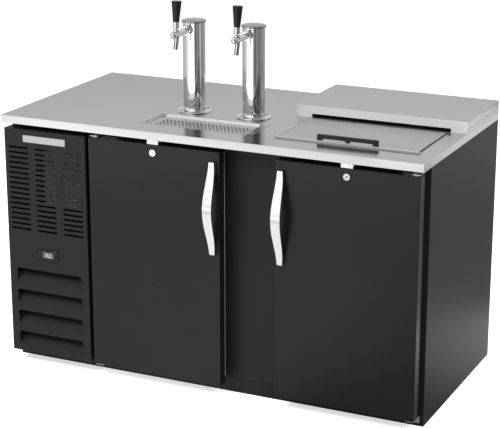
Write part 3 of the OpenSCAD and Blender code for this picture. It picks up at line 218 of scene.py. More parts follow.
@dataclass(frozen=True)
class BrushedSheet(Finish):
    """Sheet metal run under an abrasive belt: hair lines along X that blur what it reflects one way."""

    # hair lines are 0.2 mm wide in life and are drawn as coarse as they need to show
    line_mm: float = 1.6
    run_mm: float = 160.0
    cloud_mm: float = 240.0
    pale: str = "#c8c8c6"
    relief_mm: float = 0.02
    bump: float = 0.25
    duller: float = 0.07
    glossier: float = 0.05

    def texture(self, tree: NodeTree, place: NodeSocket) -> Inputs:
        """Hair lines in gloss and height, and slow clouds of tone.

        Args:
            tree: Node tree of the material.
            place: Coordinates on the object.
        Returns:
            Base colour, roughness and normal.
        """
        scale = [per_metre(size) for size in (self.run_mm, self.line_mm, self.line_mm)]
        drawn = add_node(tree, "ShaderNodeMapping", {"Vector": place, "Scale": scale}).outputs[0]
        lines = add_node(
            tree, "ShaderNodeTexNoise", {"Vector": drawn, "Scale": 1.0, "Detail": 2.0}
        ).outputs[0]
        clouds = add_node(
            tree, "ShaderNodeTexNoise", {"Vector": place, "Scale": per_metre(self.cloud_mm), "Detail": 3.0}
        ).outputs[0]
        tone = add_node(tree, "ShaderNodeMath", {0: lines, 1: clouds}, operation="MULTIPLY").outputs[0]
        tint = add_node(
            tree, "ShaderNodeMix", {0: tone, 6: linear(self.colour), 7: linear(self.pale)}, data_type="RGBA"
        ).outputs[2]
        gloss = add_node(
            tree,
            "ShaderNodeMapRange",
            {"Value": lines, 3: self.roughness - self.glossier, 4: self.roughness + self.duller},
        ).outputs[0]
        bump = add_node(
            tree,
            "ShaderNodeBump",
            {"Height": lines, "Strength": self.bump, "Distance": self.relief_mm * MM},
        ).outputs[0]
        return {"Base Color": tint, "Roughness": gloss, "Normal": bump}


@dataclass(frozen=True)
class WipedGloss(Finish):
    """Plated or polished face: glossy, with faint smears where it was wiped."""

    smear_mm: float = 45.0
    spread: float = 0.03

    def texture(self, tree: NodeTree, place: NodeSocket) -> Inputs:
        """Slow changes of gloss.

        Args:
            tree: Node tree of the material.
            place: Coordinates on the object.
        Returns:
            Roughness.
        """
        smear = add_node(
            tree, "ShaderNodeTexNoise", {"Vector": place, "Scale": per_metre(self.smear_mm), "Detail": 4.0}
        ).outputs[0]
        gloss = add_node(
            tree, "ShaderNodeMapRange", {"Value": smear, 3: self.roughness, 4: self.roughness + self.spread}
        ).outputs[0]
        return {"Roughness": gloss}


@dataclass(frozen=True)
class PebbledCoat(Finish):
    """Coating or moulding with a fine pebble: soft broken highlights and a slightly uneven tone."""

    # pebbles and ripples are finer in life and are drawn as coarse as they need to show
    pebble_mm: float = 3.0
    relief_mm: float = 0.05
    cloud_mm: float = 150.0
    pale: str = "#262626"
    bump: float = 0.3
    spread: float = 0.06

    def texture(self, tree: NodeTree, place: NodeSocket) -> Inputs:
        """Pebbles in height, specks in gloss and clouds of tone.

        Args:
            tree: Node tree of the material.
            place: Coordinates on the object.
        Returns:
            Base colour, roughness and normal.
        """
        pebble = add_node(
            tree, "ShaderNodeTexNoise", {"Vector": place, "Scale": per_metre(self.pebble_mm), "Detail": 2.0}
        ).outputs[0]
        clouds = add_node(
            tree, "ShaderNodeTexNoise", {"Vector": place, "Scale": per_metre(self.cloud_mm), "Detail": 3.0}
        ).outputs[0]
        tint = add_node(
            tree,
            "ShaderNodeMix",
            {0: clouds, 6: linear(self.colour), 7: linear(self.pale)},
            data_type="RGBA",
        ).outputs[2]
        gloss = add_node(
            tree,
            "ShaderNodeMapRange",
            {"Value": pebble, 3: self.roughness - self.spread, 4: self.roughness + self.spread},
        ).outputs[0]
        bump = add_node(
            tree,
            "ShaderNodeBump",
            {"Height": pebble, "Strength": self.bump, "Distance": self.relief_mm * MM},
        ).outputs[0]
        return {"Base Color": tint, "Roughness": gloss, "Normal": bump}


@dataclass(frozen=True)
class CellSurface(Finish):
    """Surface of many small cells, such as cut foam or embossed sheet: each cell catches light alone."""

    # cells of foam are 1 mm wide in life and are drawn as coarse as they need to show
    cell_mm: float = 4.0
    relief_mm: float = 0.3
    pale: str = "#e6d9a6"
    bump: float = 0.6

    def texture(self, tree: NodeTree, place: NodeSocket) -> Inputs:
        """Round cells in height and tone.

        Args:
            tree: Node tree of the material.
            place: Coordinates on the object.
        Returns:
            Base colour and normal.
        """
        cells = add_node(
            tree,
            "ShaderNodeTexVoronoi",
            {"Vector": place, "Scale": per_metre(self.cell_mm)},
            feature="SMOOTH_F1",
        ).outputs[0]
        tint = add_node(
            tree,
            "ShaderNodeMix",
            {0: cells, 6: linear(self.colour), 7: linear(self.pale)},
            data_type="RGBA",
        ).outputs[2]
        bump = add_node(
            tree,
            "ShaderNodeBump",
            {"Height": cells, "Strength": self.bump, "Distance": self.relief_mm * MM},
        ).outputs[0]
        return {"Base Color": tint, "Normal": bump}


@dataclass(frozen=True)
class FinStack(Finish):
    """Thin fins pressed on tubes: close bright edges, with painted shade in the gaps between them."""

    pitch_mm: float = 4.0
    # colour of the painted shade that stands for the dark gaps between fins
    gap: str = "#b4b6b8"
    relief_mm: float = 0.3
    bump: float = 0.4

    def texture(self, tree: NodeTree, place: NodeSocket) -> Inputs:
        """Bands of fin and of painted shade between the fins.

        Args:
            tree: Node tree of the material.
            place: Coordinates on the object.
        Returns:
            Base colour and normal.
        """
        # the wave makes 20 / (2 pi) bands for each unit of scale
        bands = add_node(
            tree,
            "ShaderNodeTexWave",
            {"Vector": place, "Scale": per_metre(self.pitch_mm) * math.tau / 20},
            bands_direction="DIAGONAL",
        ).outputs[1]
        tint = add_node(
            tree, "ShaderNodeMix", {0: bands, 6: linear(self.gap), 7: linear(self.colour)}, data_type="RGBA"
        ).outputs[2]
        bump = add_node(
            tree,
            "ShaderNodeBump",
            {"Height": bands, "Strength": self.bump, "Distance": self.relief_mm * MM},
        ).outputs[0]
        return {"Base Color": tint, "Normal": bump}


@dataclass(frozen=True)
class LitWindow(Finish):
    """Part of a lit display: it shines of itself, a little unevenly as light spreads behind it."""

    glow: float = 1.0
    patch_mm: float = 9.0
    dim: float = 0.8
    bright: float = 1.1

    def texture(self, tree: NodeTree, place: NodeSocket) -> Inputs:
        """Light that comes from behind the surface.

        Args:
            tree: Node tree of the material.
            place: Coordinates on the object.
        Returns:
            Emission colour and strength.
        """
        patches = add_node(
            tree, "ShaderNodeTexNoise", {"Vector": place, "Scale": per_metre(self.patch_mm)}
        ).outputs[0]
        power = add_node(
            tree,
            "ShaderNodeMapRange",
            {"Value": patches, 3: self.dim * self.glow, 4: self.bright * self.glow},
        ).outputs[0]
        return {"Emission Color": linear(self.colour), "Emission Strength": power}


class Finishes(Enum):
    """Every finish on the cooler, with what its making gives the eye."""

    # stainless steel sheet with a belt-brushed face: grey, satin, mirrors only broad shapes
    STAINLESS = BrushedSheet("brushed_stainless_steel", "#b9b9b7", 0.16, 1.0, relief_mm=0.012)
    # the same steel drawn paler and less metallic for narrow faces, as painted sheen: it scatters most
    # light and looks pale from the front
    GROUND = BrushedSheet("ground_stainless_steel", "#cacac8", 0.34, 0.25, pale="#d4d4d2", relief_mm=0.004)
    # stainless steel punched or rolled and left as it came: between the satin and the dull face
    ROLLED = BrushedSheet(
        "mill_rolled_stainless_steel", "#a6a6a4", 0.32, 0.6, pale="#b0b0ae", relief_mm=0.004
    )
    # stainless steel pressed into a tray and polished in the press: brighter and less lined
    PRESSED = BrushedSheet("pressed_stainless_steel", "#c4c4c2", 0.24, 1.0, line_mm=3.0, relief_mm=0.004)
    # lid sheet with a crossed brush: a grain of short strokes
    LID_SHEET = BrushedSheet(
        "cross_brushed_stainless_steel", "#b7b7b5", 0.24, 1.0, line_mm=2.4, run_mm=12.0, relief_mm=0.004
    )
    # chrome plate on polished brass: a clear mirror, black and white in a studio
    CHROME = WipedGloss("polished_chrome_plate", "#dfe0e1", 0.02, 1.0)
    # stainless steel spun over a form: a grey mirror, a little soft
    SPUN = WipedGloss("spun_stainless_steel", "#a8a8a8", 0.08, 1.0)
    # chrome plate on a die-cast handle: a softer mirror
    CAST_CHROME = WipedGloss("chrome_plated_die_casting", "#d6d6d6", 0.1, 1.0)
    # zinc plate on pressed steel: grey and half bright
    ZINC = WipedGloss("zinc_plated_steel", "#b4b6b8", 0.3, 1.0, smear_mm=12.0, spread=0.12)
    # vinyl-coated steel sheet: charcoal with a fine pebble
    COATED = PebbledCoat("vinyl_coated_steel", "#1a1a1a", 0.42, specular=0.18, pale="#1e1e1e")
    # the same coat on the door sheets, pressed flat and wiped: it mirrors what stands close to it
    DOOR_COAT = PebbledCoat(
        "pressed_vinyl_coated_steel", "#131313", 0.25, specular=0.24, relief_mm=0.02, pale="#161616"
    )
    # the same coat on the narrow facings round the doors, a little duller
    FACING = PebbledCoat("coated_steel_facing", "#1b1b1b", 0.45, specular=0.18, pale="#1f1f1f")
    # moulded ABS with a spark-eroded face: dull black
    ABS = PebbledCoat("moulded_black_abs", "#222222", 0.45, pebble_mm=1.5, specular=0.2, pale="#272727")
    # the controller's case, moulded with a plain face: a shade deeper than the panel round it
    BEZEL = PebbledCoat("moulded_black_case", "#191919", 0.5, pebble_mm=2.0, specular=0.15, pale="#1d1d1d")
    # phenolic resin turned and polished: black with a soft shine
    PHENOLIC = PebbledCoat(
        "polished_black_phenolic", "#111111", 0.24,
        pebble_mm=8.0, relief_mm=0.01, specular=0.26, pale="#151515",
    )
    # sprayed enamel: deep black, slightly rippled like orange peel
    ENAMEL = PebbledCoat(
        "sprayed_black_enamel", "#101010", 0.3, pebble_mm=6.0, relief_mm=0.08, pale="#141414"
    )
    # extruded soft vinyl: pale grey, matt
    SOFT_VINYL = PebbledCoat(
        "extruded_soft_vinyl", "#838383", 0.5, pebble_mm=5.0, specular=0.3, pale="#919191"
    )
    # moulded nylon, undyed: milky and waxy
    NYLON = PebbledCoat("moulded_natural_nylon", "#dedbd0", 0.4, pebble_mm=4.0, pale="#e8e6dd")
    # poured polyurethane foam: cream with small cells
    FOAM = CellSurface("poured_polyurethane_foam", "#cdbb7c", 0.85)
    # aluminium sheet with a rolled stucco pattern: a field of small bright dimples 6 mm across
    STUCCO = CellSurface("stucco_embossed_aluminium", "#aeb2b4", 0.34, 1.0, cell_mm=6.0, pale="#c9cccd")
    # aluminium fins dulled by oxide: pale and matt, 2 mm apart in life and drawn at 4 mm, with painted
    # shade between them
    FINS = FinStack("pressed_aluminium_fins", "#e4e6e8", 0.5, 0.1)
    # clear acrylic over a grey liquid crystal: a dark glossy field
    ACRYLIC = WipedGloss("acrylic_display_window", "#3a3b3d", 0.1, smear_mm=20.0, spread=0.05)
    # anodised aluminium plate, brushed across: pale and dull
    ANODISED = BrushedSheet(
        "brushed_anodised_aluminium", "#b4b4b4", 0.36, 1.0, line_mm=1.2, run_mm=40.0, pale="#bcbcbc"
    )
    # liquid crystal segments lit from behind: a cold white
    DIGITS = LitWindow("lit_display_segments", "#acacc8", 0.4, glow=0.6)
    # red light-emitting diode behind a bar
    RED_LAMP = LitWindow("red_indicator_bar", "#742220", 0.3, glow=0.2)
    # needled fleece of a dust filter, matt and fibrous, drawn near black as painted shade in the louvres'
    # mouths
    FLEECE = PebbledCoat(
        "needled_filter_fleece", "#070708", 0.9, pebble_mm=2.5, specular=0.04, pale="#0c0c0e"
    )
    # pad-printed pale grey ink
    INK = PebbledCoat("pad_printed_grey_ink", "#6c6e70", 0.5, pebble_mm=2.0, pale="#787a7c")


def rounded(width: float, height: float, radius: float, steps: int = 6) -> Outline:
    """Rectangle with round corners about the origin.

    Args:
        width: Size across.
        height: Size upward.
        radius: Radius of the corners.
        steps: Pieces of each corner's arc.
    Returns:
        Its points, turning anticlockwise.
    """
    points: Outline = []
    for corner, (sx, sy) in enumerate(((1, 1), (-1, 1), (-1, -1), (1, -1))):
        for step in range(steps + 1):
            turn = math.radians(90 * (corner + step / steps))
            x = sx * (width / 2 - radius) + radius * math.cos(turn)
            y = sy * (height / 2 - radius) + radius * math.sin(turn)
            points.append((x, y))
    return points


def ring(radius: float, steps: int = 32) -> Outline:
    """Points of a circle about the origin, turning anticlockwise."""
    turns = [math.tau * n / steps for n in range(steps)]
    return [(radius * math.cos(turn), radius * math.sin(turn)) for turn in turns]


def girdle(mesh: BMesh, lower: Sequence[BMVert], upper: Sequence[BMVert]) -> None:
    """Joins two loops that have the same number of corners.

    Args:
        mesh: Mesh that takes the faces.
        lower: Corners of the first loop.
        upper: Corners of the second loop.
    """
    for n in range(len(lower)):
        after = (n + 1) % len(lower)
        mesh.faces.new((lower[n], lower[after], upper[after], upper[n]))


def loft(mesh: BMesh, rings: Sequence[Sequence[Vector]], cyclic: bool = False) -> None:
    """Skins a row of rings that have the same number of points.

    Args:
        mesh: Mesh that takes the faces.
        rings: Points of each ring, in order.
        cyclic: True if the last ring joins the first, else both ends are closed.
    """
    loops = [[mesh.verts.new(point) for point in points] for points in rings]
    for lower, upper in zip(loops, loops[1:] + loops[:1] if cyclic else loops[1:]):
        girdle(mesh, lower, upper)
    if not cyclic:
        mesh.faces.new(list(reversed(loops[0])))
        mesh.faces.new(loops[-1])


def stack(
    mesh: BMesh, place: Matrix, layers: Sequence[tuple[Outline, float]], cyclic: bool = False
) -> None:
    """Skins outlines laid one over another.

    Args:
        mesh: Mesh that takes the faces.
        place: Matrix from the outlines' own plane to the part's frame, in metres.
        layers: Each outline with its height, in millimetres.
        cyclic: True if the last outline joins the first, else both ends are closed.
    """
    rings = [[place @ Vector((x * MM, y * MM, up * MM)) for x, y in points] for points, up in layers]
    loft(mesh, rings, cyclic)


def facing(centre: Sequence[float], normal: Sequence[float], upward: Sequence[float] = (0, 0, 1)) -> Matrix:
    """Matrix of a plane that looks along a normal.

    Args:
        centre: Its origin in millimetres.
        normal: The way its own Z points.
        upward: The way its own Y points, as near as it can.
    Returns:
        Matrix from the plane's frame to the part's.
    """
    z = Vector(normal).normalized()
    x = Vector(upward).cross(z).normalized()
    turn = Matrix((x, z.cross(x), z)).transposed().to_4x4()
    return Matrix.Translation(Vector(centre) * MM) @ turn


def cross_head(mesh: BMesh, place: Matrix, radius: float) -> None:
    """Adds a domed screw head with a cross recess.

    Args:
        mesh: Mesh that takes the faces.
        place: Matrix of the surface it sits on.
        radius: Radius of the head in millimetres.
    """
    sides, arm, half = 16, 0.5 * radius, 0.12 * radius
    # share of the radius, and height as a share of it, from the foot to the flat round the recess
    profile = ((1.0, 0.0), (1.0, 0.18), (0.9, 0.38), (0.66, 0.5))
    crown, recess_foot, recess_taper = profile[-1][1], 0.15, 0.8

    def spot(x: float, y: float, up: float) -> BMVert:
        """Adds one corner, given in millimetres over the surface."""
        return mesh.verts.new(place @ Vector((x * MM, y * MM, up * MM)))

    loops = []
    for share, up in profile:
        loops.append([spot(x * share, y * share, radius * up) for x, y in ring(radius, sides)])
    for lower, upper in zip(loops, loops[1:]):
        girdle(mesh, lower, upper)
    cross: Outline = []
    for turn in range(4):
        for x, y in ((half, half), (half, arm), (-half, arm)):
            for _ in range(turn):
                x, y = -y, x
            cross.append((x, y))
    corners = len(cross)
    rim = [spot(x, y, crown * radius) for x, y in cross]
    low = [spot(recess_taper * x, recess_taper * y, recess_foot * radius) for x, y in cross]
    edges = [mesh.edges.get((loops[-1][n], loops[-1][(n + 1) % sides])) for n in range(sides)]
    edges += [mesh.edges.new((rim[n], rim[(n + 1) % corners])) for n in range(corners)]
    bmesh.ops.triangle_fill(mesh, use_beauty=True, edges=edges)
    girdle(mesh, rim, low)
    mesh.faces.new(low)


@dataclass
class Workshop:
    """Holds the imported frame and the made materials, and hands out pieces."""

    frame: Frame
    materials: dict[str, Material] = field(default_factory=dict)

    def material(self, finish: Finishes) -> Material:
        """Looks up a material, which is made the first time it is asked for.

        Args:
            finish: What it shows.
        Returns:
            The one material of that finish.
        """
        if finish.name not in self.materials:
            self.materials[finish.name] = finish.value.build()
        return self.materials[finish.name]

    def dress(self, nodes: str | Sequence[str], finish: Finishes, edge_mm: float = 0.0) -> None:
        """Gives CAD nodes a finish and broken edges that catch the light.

        Args:
            nodes: Name of the node, or names.
            finish: What they are made of.
            edge_mm: Width of the broken edge, or 0 for none.
        """
        for name in [nodes] if isinstance(nodes, str) else nodes:
            node = self.frame["nodes"][name]
            node.data.materials.clear()
            node.data.materials.append(self.material(finish))
            if edge_mm:
                weld = node.modifiers.new("join_faces", "WELD")
                weld.merge_threshold = WELD_GAP
                edge = node.modifiers.new("broken_edge", "BEVEL")
                edge.width = edge_mm * MM
                edge.segments = EDGE_STEPS
                edge.limit_method = "ANGLE"
                edge.angle_limit = math.radians(CREASE_DEG)
                edge.use_clamp_overlap = True
                edge.harden_normals = True
            LOG.info("dressed %s in %s", name, finish.value.name)

    def piece(
        self, name: str, mesh: BMesh, body: str, finish: Finishes, slot: str, smooth: float = 35.0
    ) -> Object:
        """Turns a mesh into a piece that rides on a body.

        Args:
            name: Name of the piece.
            mesh: Its faces, in the part's frame; freed here.
            body: CAD body that carries it.
            finish: What it is made of.
            slot: Material slot of the record; not used.
            smooth: Edges flatter than this, in degrees, are shaded smooth.
        Returns:
            The new object.
        """
        bmesh.ops.recalc_face_normals(mesh, faces=mesh.faces)
        for face in mesh.faces:
            face.smooth = True
        for edge in mesh.edges:
            edge.smooth = len(edge.link_faces) == 2 and edge.calc_face_angle(0.0) < math.radians(smooth)
        made = new_object(name, mesh, self.material(finish))
        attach(made, body)
        LOG.info("made %s on %s", name, body)
        return made

    def middle(self, node: str) -> tuple[Vector, Vector]:
        """Middle and size of a CAD node's box, in millimetres."""
        low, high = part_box(node)
        return (low + high) / 2 / MM, (high - low) / MM


@dataclass
class SubAssembly:
    """A group of nodes that is dressed together and may add pieces of its own."""

    shop: Workshop

    def dress(self) -> None:
        """Gives the group's nodes their finishes."""
        raise NotImplementedError

    def build(self) -> None:
        """Makes the group's own pieces; none unless a group says so."""


@dataclass
class Cabinet(SubAssembly):
    """Coated steel case, face frame, insulation and liner."""

    screw_r: float = 4.0
    screw_pitch: float = 180.0
    screw_inset: float = 14.0

    def dress(self) -> None:
        """Finishes of the case's own nodes."""
        self.shop.dress(["side_panels", "back_panel", "base_pan"], Finishes.COATED)
        self.shop.dress("front_frame", Finishes.FACING, edge_mm=0.5)
        self.shop.dress(["insulation_panels", "insulation_top", "worktop_core"], Finishes.FOAM)
        self.shop.dress("inner_liner", Finishes.STUCCO)
        self.shop.dress("hinge_brackets", Finishes.ZINC, edge_mm=0.4)
        # the strikes take the paler painted-sheen copy of the steel
        self.shop.dress("lock_strikes", Finishes.GROUND, edge_mm=0.4)
        self.shop.dress("hinge_pins", Finishes.ZINC)

    def build(self) -> None:
        """Makes the screws that hold the back panel."""
        centre, size = self.shop.middle("back_panel")
        # the back sheet's rear face is that of the side panels it closes
        panels, depth = self.shop.middle("side_panels")
        rear = panels.y + depth.y / 2
        count = int(size.z // self.screw_pitch)
        mesh = bmesh.new()
        for side in Side:
            x = centre.x + side.value * (size.x / 2 - self.screw_inset)
            for n in range(count + 1):
                z = centre.z - size.z / 2 + self.screw_inset + n * (size.z - 2 * self.screw_inset) / count
                cross_head(mesh, facing((x, rear, z), (0, 1, 0)), self.screw_r)
        self.shop.piece("back_panel_screws", mesh, "cabinet", Finishes.ZINC, "plated_steel")


@dataclass
class Worktop(SubAssembly):
    """Brushed sheet over foam with the raised shelf, lid track and sliding lid."""

    hem_d: float = 11.0
    hem_h: float = 3.5
    hem_r: float = 1.6
    bar_z: float = 882.0
    facing_t: float = 0.4
    gap_h: float = 12.0

    def dress(self) -> None:
        """Finishes of the worktop's nodes."""
        self.shop.dress(["worktop", "raised_shelf"], Finishes.STAINLESS, edge_mm=0.8)
        self.shop.dress("lid_track", Finishes.ROLLED, edge_mm=0.3)
        self.shop.dress("lid", Finishes.LID_SHEET, edge_mm=0.8)
        self.shop.dress("lid_handle", Finishes.ABS, edge_mm=0.8)

    def build(self) -> None:
        """Makes the hem along the bar in front of the lid, and a pale sheet on the shelf's front that is
        painted sheen.
        """
        low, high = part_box("lid_track")
        # own X of this plane is the part's +Y, its own Y is up
        place = facing((low.x / MM, low.y / MM + self.hem_d / 2, self.bar_z), (1, 0, 0))
        outline = [(x, y + self.hem_h / 2) for x, y in rounded(self.hem_d, self.hem_h, self.hem_r, steps=5)]
        mesh = bmesh.new()
        stack(mesh, place, [(outline, 0.0), (outline, (high.x - low.x) / MM)])
        self.shop.piece("lid_bar_hem", mesh, "cabinet", Finishes.ROLLED, "stainless", smooth=50.0)
        # a thin pale sheet on the shelf's front: painted sheen that makes that face lighter than the
        # brushed top
        foot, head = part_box("raised_shelf")
        left, right, rise = foot.x / MM, head.x / MM, (head.z - foot.z) / MM
        mouth = [(low.x / MM, 0.0), (low.x / MM, self.gap_h), (high.x / MM, self.gap_h), (high.x / MM, 0.0)]
        around = [(left, 0.0), *mouth, (right, 0.0), (right, rise), (left, rise)]
        mesh = bmesh.new()
        place = facing((0.0, foot.y / MM, foot.z / MM), (0, -1, 0))
        stack(mesh, place, [(around, 0.0), (around, self.facing_t)])
        self.shop.piece("shelf_front_facing", mesh, "cabinet", Finishes.GROUND, "stainless")


@dataclass
class DripTray(SubAssembly):
    """Pressed tray with its lift-out grille."""

    def dress(self) -> None:
        """Finishes of the tray's nodes."""
        self.shop.dress("drip_tray", Finishes.PRESSED)
        self.shop.dress("drip_grille", Finishes.ROLLED)


@dataclass
class TapTowers(SubAssembly):
    """Chromed columns with their faucets, levers and handles."""

    axis_x: tuple[float, float] = (-186.3, 34.3)
    axis_y: float = -48.5
    top_z: float = 880.0
    flange_t: float = 5.0
    screw_circle: float = 48.425
    screw_r: float = 4.5
    pivot_out: float = 129.0
    pivot_up: float = 292.0
    lean: float = 4.5
    crown_up: float = 101.6
    disc_r: float = 13.2
    column_r: float = 38.2
    collar_h: float = 13.5
    round_steps: int = 64
    # share of the disc's radius, and height over the handle's crown
    disc_turn: tuple[tuple[float, float], ...] = (
        (1, -1.2), (1, -0.5), (0.95, -0.15), (0.6, 0.1), (0.2, 0.2),
    )
    # radius and height above the worktop of a spun cap, from the roof of its hollow round to its crown
    cap_turn: tuple[tuple[float, float], ...] = (
        (38.3, 306.4), (38.3, 303.6), (40.6, 303.6), (41.3, 304.0), (41.5, 304.8),
        (41.5, 308.2), (41.2, 309.4), (40.2, 310.4), (36.0, 311.5), (28.0, 313.0),
        (18.0, 314.2), (9.0, 314.8), (2.0, 315.0),
    )

    def dress(self) -> None:
        """Finishes of the towers' nodes."""
        self.shop.dress(["tower_columns", "faucet_shanks", "faucet_nuts", "faucet_bodies"], Finishes.CHROME)
        for side in Side:
            self.shop.dress(f"{side.word}_tap_lever", Finishes.CHROME)
            self.shop.dress(f"{side.word}_tap_handle", Finishes.PHENOLIC, edge_mm=0.8)
            self.shop.dress(f"{side.word}_valve_shaft", Finishes.ZINC)

    def build(self) -> None:
        """Makes the caps, the collars and screws at the columns' feet, and the handles' discs."""
        caps, collars, screws = bmesh.new(), bmesh.new(), bmesh.new()
        for x in self.axis_x:
            place = facing((x, self.axis_y, self.top_z), (0, 0, 1), (0, 1, 0))
            stack(caps, place, [(ring(radius, self.round_steps), up) for radius, up in self.cap_turn])
            self.collar(collars, place)
            for turn in range(4):
                angle = math.radians(45 + 90 * turn)
                across, along = math.cos(angle), math.sin(angle)
                foot = (
                    x + self.screw_circle * across,
                    self.axis_y + self.screw_circle * along,
                    self.top_z + self.flange_t,
                )
                cross_head(screws, facing(foot, (0, 0, 1), (along, across, 0)), self.screw_r)
        made = self.shop.piece("spun_tower_caps", caps, "cabinet", Finishes.SPUN, "chrome", CREASE_DEG)
        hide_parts("tower_caps")
        self.shop.piece("tower_foot_collars", collars, "cabinet", Finishes.CHROME, "chrome", CREASE_DEG)
        made = self.shop.piece("tower_flange_screws", screws, "cabinet", Finishes.ZINC, "plated_steel")
        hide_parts("flange_screws")
        for side, x in zip(Side, self.axis_x):
            self.disc(side, x)

    def collar(self, mesh: BMesh, place: Matrix) -> None:
        """Adds the collar that stands on a flange, close round its column.

        Args:
            mesh: Mesh that takes the faces.
            place: Matrix of the column's foot.
        """
        foot, head = self.flange_t, self.flange_t + self.collar_h
        # distance from the column, and height
        turn = (
            (0.0, foot), (2.6, foot), (1.6, foot + 1.0), (1.4, head - 1.0), (0.9, head - 0.3), (0.0, head),
        )
        layers = [(ring(self.column_r + out, self.round_steps), up) for out, up in turn]
        stack(mesh, place, layers, cyclic=True)

    def disc(self, side: Side, x: float) -> None:
        """Makes the pale disc on top of one handle.

        Args:
            side: Which tap.
            x: Place of the tap's axis.
        """
        lean = math.radians(self.lean)
        along = Vector((0, math.sin(lean), math.cos(lean)))
        top = Vector((x, self.axis_y - self.pivot_out, self.top_z + self.pivot_up)) + self.crown_up * along
        mesh = bmesh.new()
        layers = [(ring(self.disc_r * share), up) for share, up in self.disc_turn]
        stack(mesh, facing(top, along, (0, 1, 0)), layers)
        name, body = f"{side.word}_handle_disc", f"{side.word}_tap"
        self.shop.piece(name, mesh, body, Finishes.ANODISED, "plated_steel", smooth=60.0)


@dataclass
class Door(SubAssembly):
    """Insulated door with a bowed handle, a lock and a bellows gasket."""

    side: Side = Side.LEFT
    gasket_w: float = 18.0
    # width, height and corner radius of the black plate that is painted shade in the keyway, and its front
    # and rear from the barrel's face
    keyway: tuple[float, float, float] = (3.0, 9.0, 0.8)
    keyway_y: tuple[float, float] = (-0.1, 1.5)

    def dress(self) -> None:
        """Finishes of the door's nodes."""
        word = self.side.word
        self.shop.dress(f"{word}_door_shell", Finishes.DOOR_COAT, edge_mm=0.8)
        self.shop.dress(f"{word}_door_plug", Finishes.STUCCO)
        self.shop.dress(f"{word}_door_core", Finishes.FOAM)
        self.shop.dress(f"{word}_door_handle", Finishes.CAST_CHROME, edge_mm=1.0)
        self.shop.dress(f"{word}_door_bushes", Finishes.NYLON)
        self.shop.dress([f"{word}_lock_barrel", f"{word}_lock_plug"], Finishes.CHROME)

    def build(self) -> None:
        """Makes the door's gasket and a black plate in its lock's keyway, as painted shade in the slot."""
        self.seal()
        word = self.side.word
        centre, size = self.shop.middle(f"{word}_lock_barrel")
        # a black enamel plate in the keyway's mouth: painted shade for the deep slot
        mesh = bmesh.new()
        place = facing((centre.x, centre.y - size.y / 2, centre.z), (0, 1, 0))
        stack(mesh, place, [(rounded(*self.keyway, steps=3), depth) for depth in self.keyway_y])
        self.shop.piece(f"{word}_keyway_shutter", mesh, f"{word}_lock", Finishes.ENAMEL, "plated_steel")

    def seal(self) -> None:
        """Makes the gasket: a flange, two bellows folds and a soft lip, mitred at the corners."""
        word = self.side.word
        node = f"{word}_door_gasket"
        centre, size = self.shop.middle(node)
        # share of the width from the outer edge, share of the depth from the door;
        # the outer half mirrors the inner one
        inner = [
            (1.0, 0.0), (1.0, 0.12), (0.84, 0.2), (0.78, 0.3), (0.86, 0.4), (0.88, 0.46), (0.8, 0.54),
            (0.82, 0.62), (0.94, 0.7), (1.0, 0.8), (0.98, 0.92), (0.9, 0.99),
        ]
        section = [*inner, (0.5, 1.0), *((1.0 - across, into) for across, into in reversed(inner))]
        rings = []
        for sx, sz in ((1, 1), (-1, 1), (-1, -1), (1, -1)):
            corner = []
            for across, into in section:
                x = centre.x + sx * (size.x / 2 - across * self.gasket_w)
                y = centre.y + (into - 0.5) * size.y
                z = centre.z + sz * (size.z / 2 - across * self.gasket_w)
                corner.append(Vector((x, y, z)) * MM)
            rings.append(corner)
        mesh = bmesh.new()
        loft(mesh, rings, cyclic=True)
        name, body = f"{word}_door_seal", f"{word}_door"
        made = self.shop.piece(name, mesh, body, Finishes.SOFT_VINYL, "gasket_rubber", smooth=50.0)
        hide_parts(node)


@dataclass
class GrillePanel(SubAssembly):
    """Louvred front of the machine bay with its bare plate and a dust filter whose dark fleece is painted
    shade.
    """

    plate_x: tuple[float, float] = (-667.0, -502.6)
    plate_z: tuple[float, float] = (794.0, 818.0)
    plate_t: float = 1.2
    plate_r: float = 2.4
    rim: float = 1.4
    filter_z: tuple[float, float] = (52.0, 378.0)
    pleats: int = 38
    pleat_d: float = 10.0
    fleece_t: float = 1.5
    skin_t: float = 1.2

    def dress(self) -> None:
        """Finish of the pressed panel."""
        self.shop.dress("grille_panel", Finishes.COATED, edge_mm=0.6)

    def build(self) -> None:
        """Makes the bare plate, a raised rim round a flat field, and the filter."""
        low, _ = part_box("grille_panel")
        width, height = self.plate_x[1] - self.plate_x[0], self.plate_z[1] - self.plate_z[0]
        spot = (sum(self.plate_x) / 2, low.y / MM, sum(self.plate_z) / 2)
        layers = []
        # distance in from the edge, and height as a share of the plate's thickness
        for inset, up in ((0, 0), (0, 0.8), (0.4, 1.2), (1.0, 1.2), (self.rim, 0.8)):
            outline = rounded(width - 2 * inset, height - 2 * inset, self.plate_r - inset, steps=4)
            layers.append((outline, up * self.plate_t))
        mesh = bmesh.new()
        stack(mesh, facing(spot, (0, -1, 0)), layers)
        self.shop.piece("bare_plate", mesh, "cabinet", Finishes.ANODISED, "plated_steel", smooth=30.0)
        self.dust_filter()

    def dust_filter(self) -> None:
        """Makes the pleated fleece that stands between the panel's flanges, behind the louvres; its
        near-black tone is painted shade in their mouths.
        """
        low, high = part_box("grille_panel")
        left, right = low.x / MM + self.skin_t, high.x / MM - self.skin_t
        rear = high.y / MM - self.fleece_t
        pitch = (right - left) / self.pleats
        front = [(left + n * pitch / 2, rear - self.pleat_d * (n % 2)) for n in range(2 * self.pleats + 1)]
        behind = [(x, y + self.fleece_t) for x, y in reversed(front)]
        mesh = bmesh.new()
        stack(mesh, Matrix(), [(front + behind, z) for z in self.filter_z])
        self.shop.piece("pleated_dust_filter", mesh, "cabinet", Finishes.FLEECE, "black_plastic")


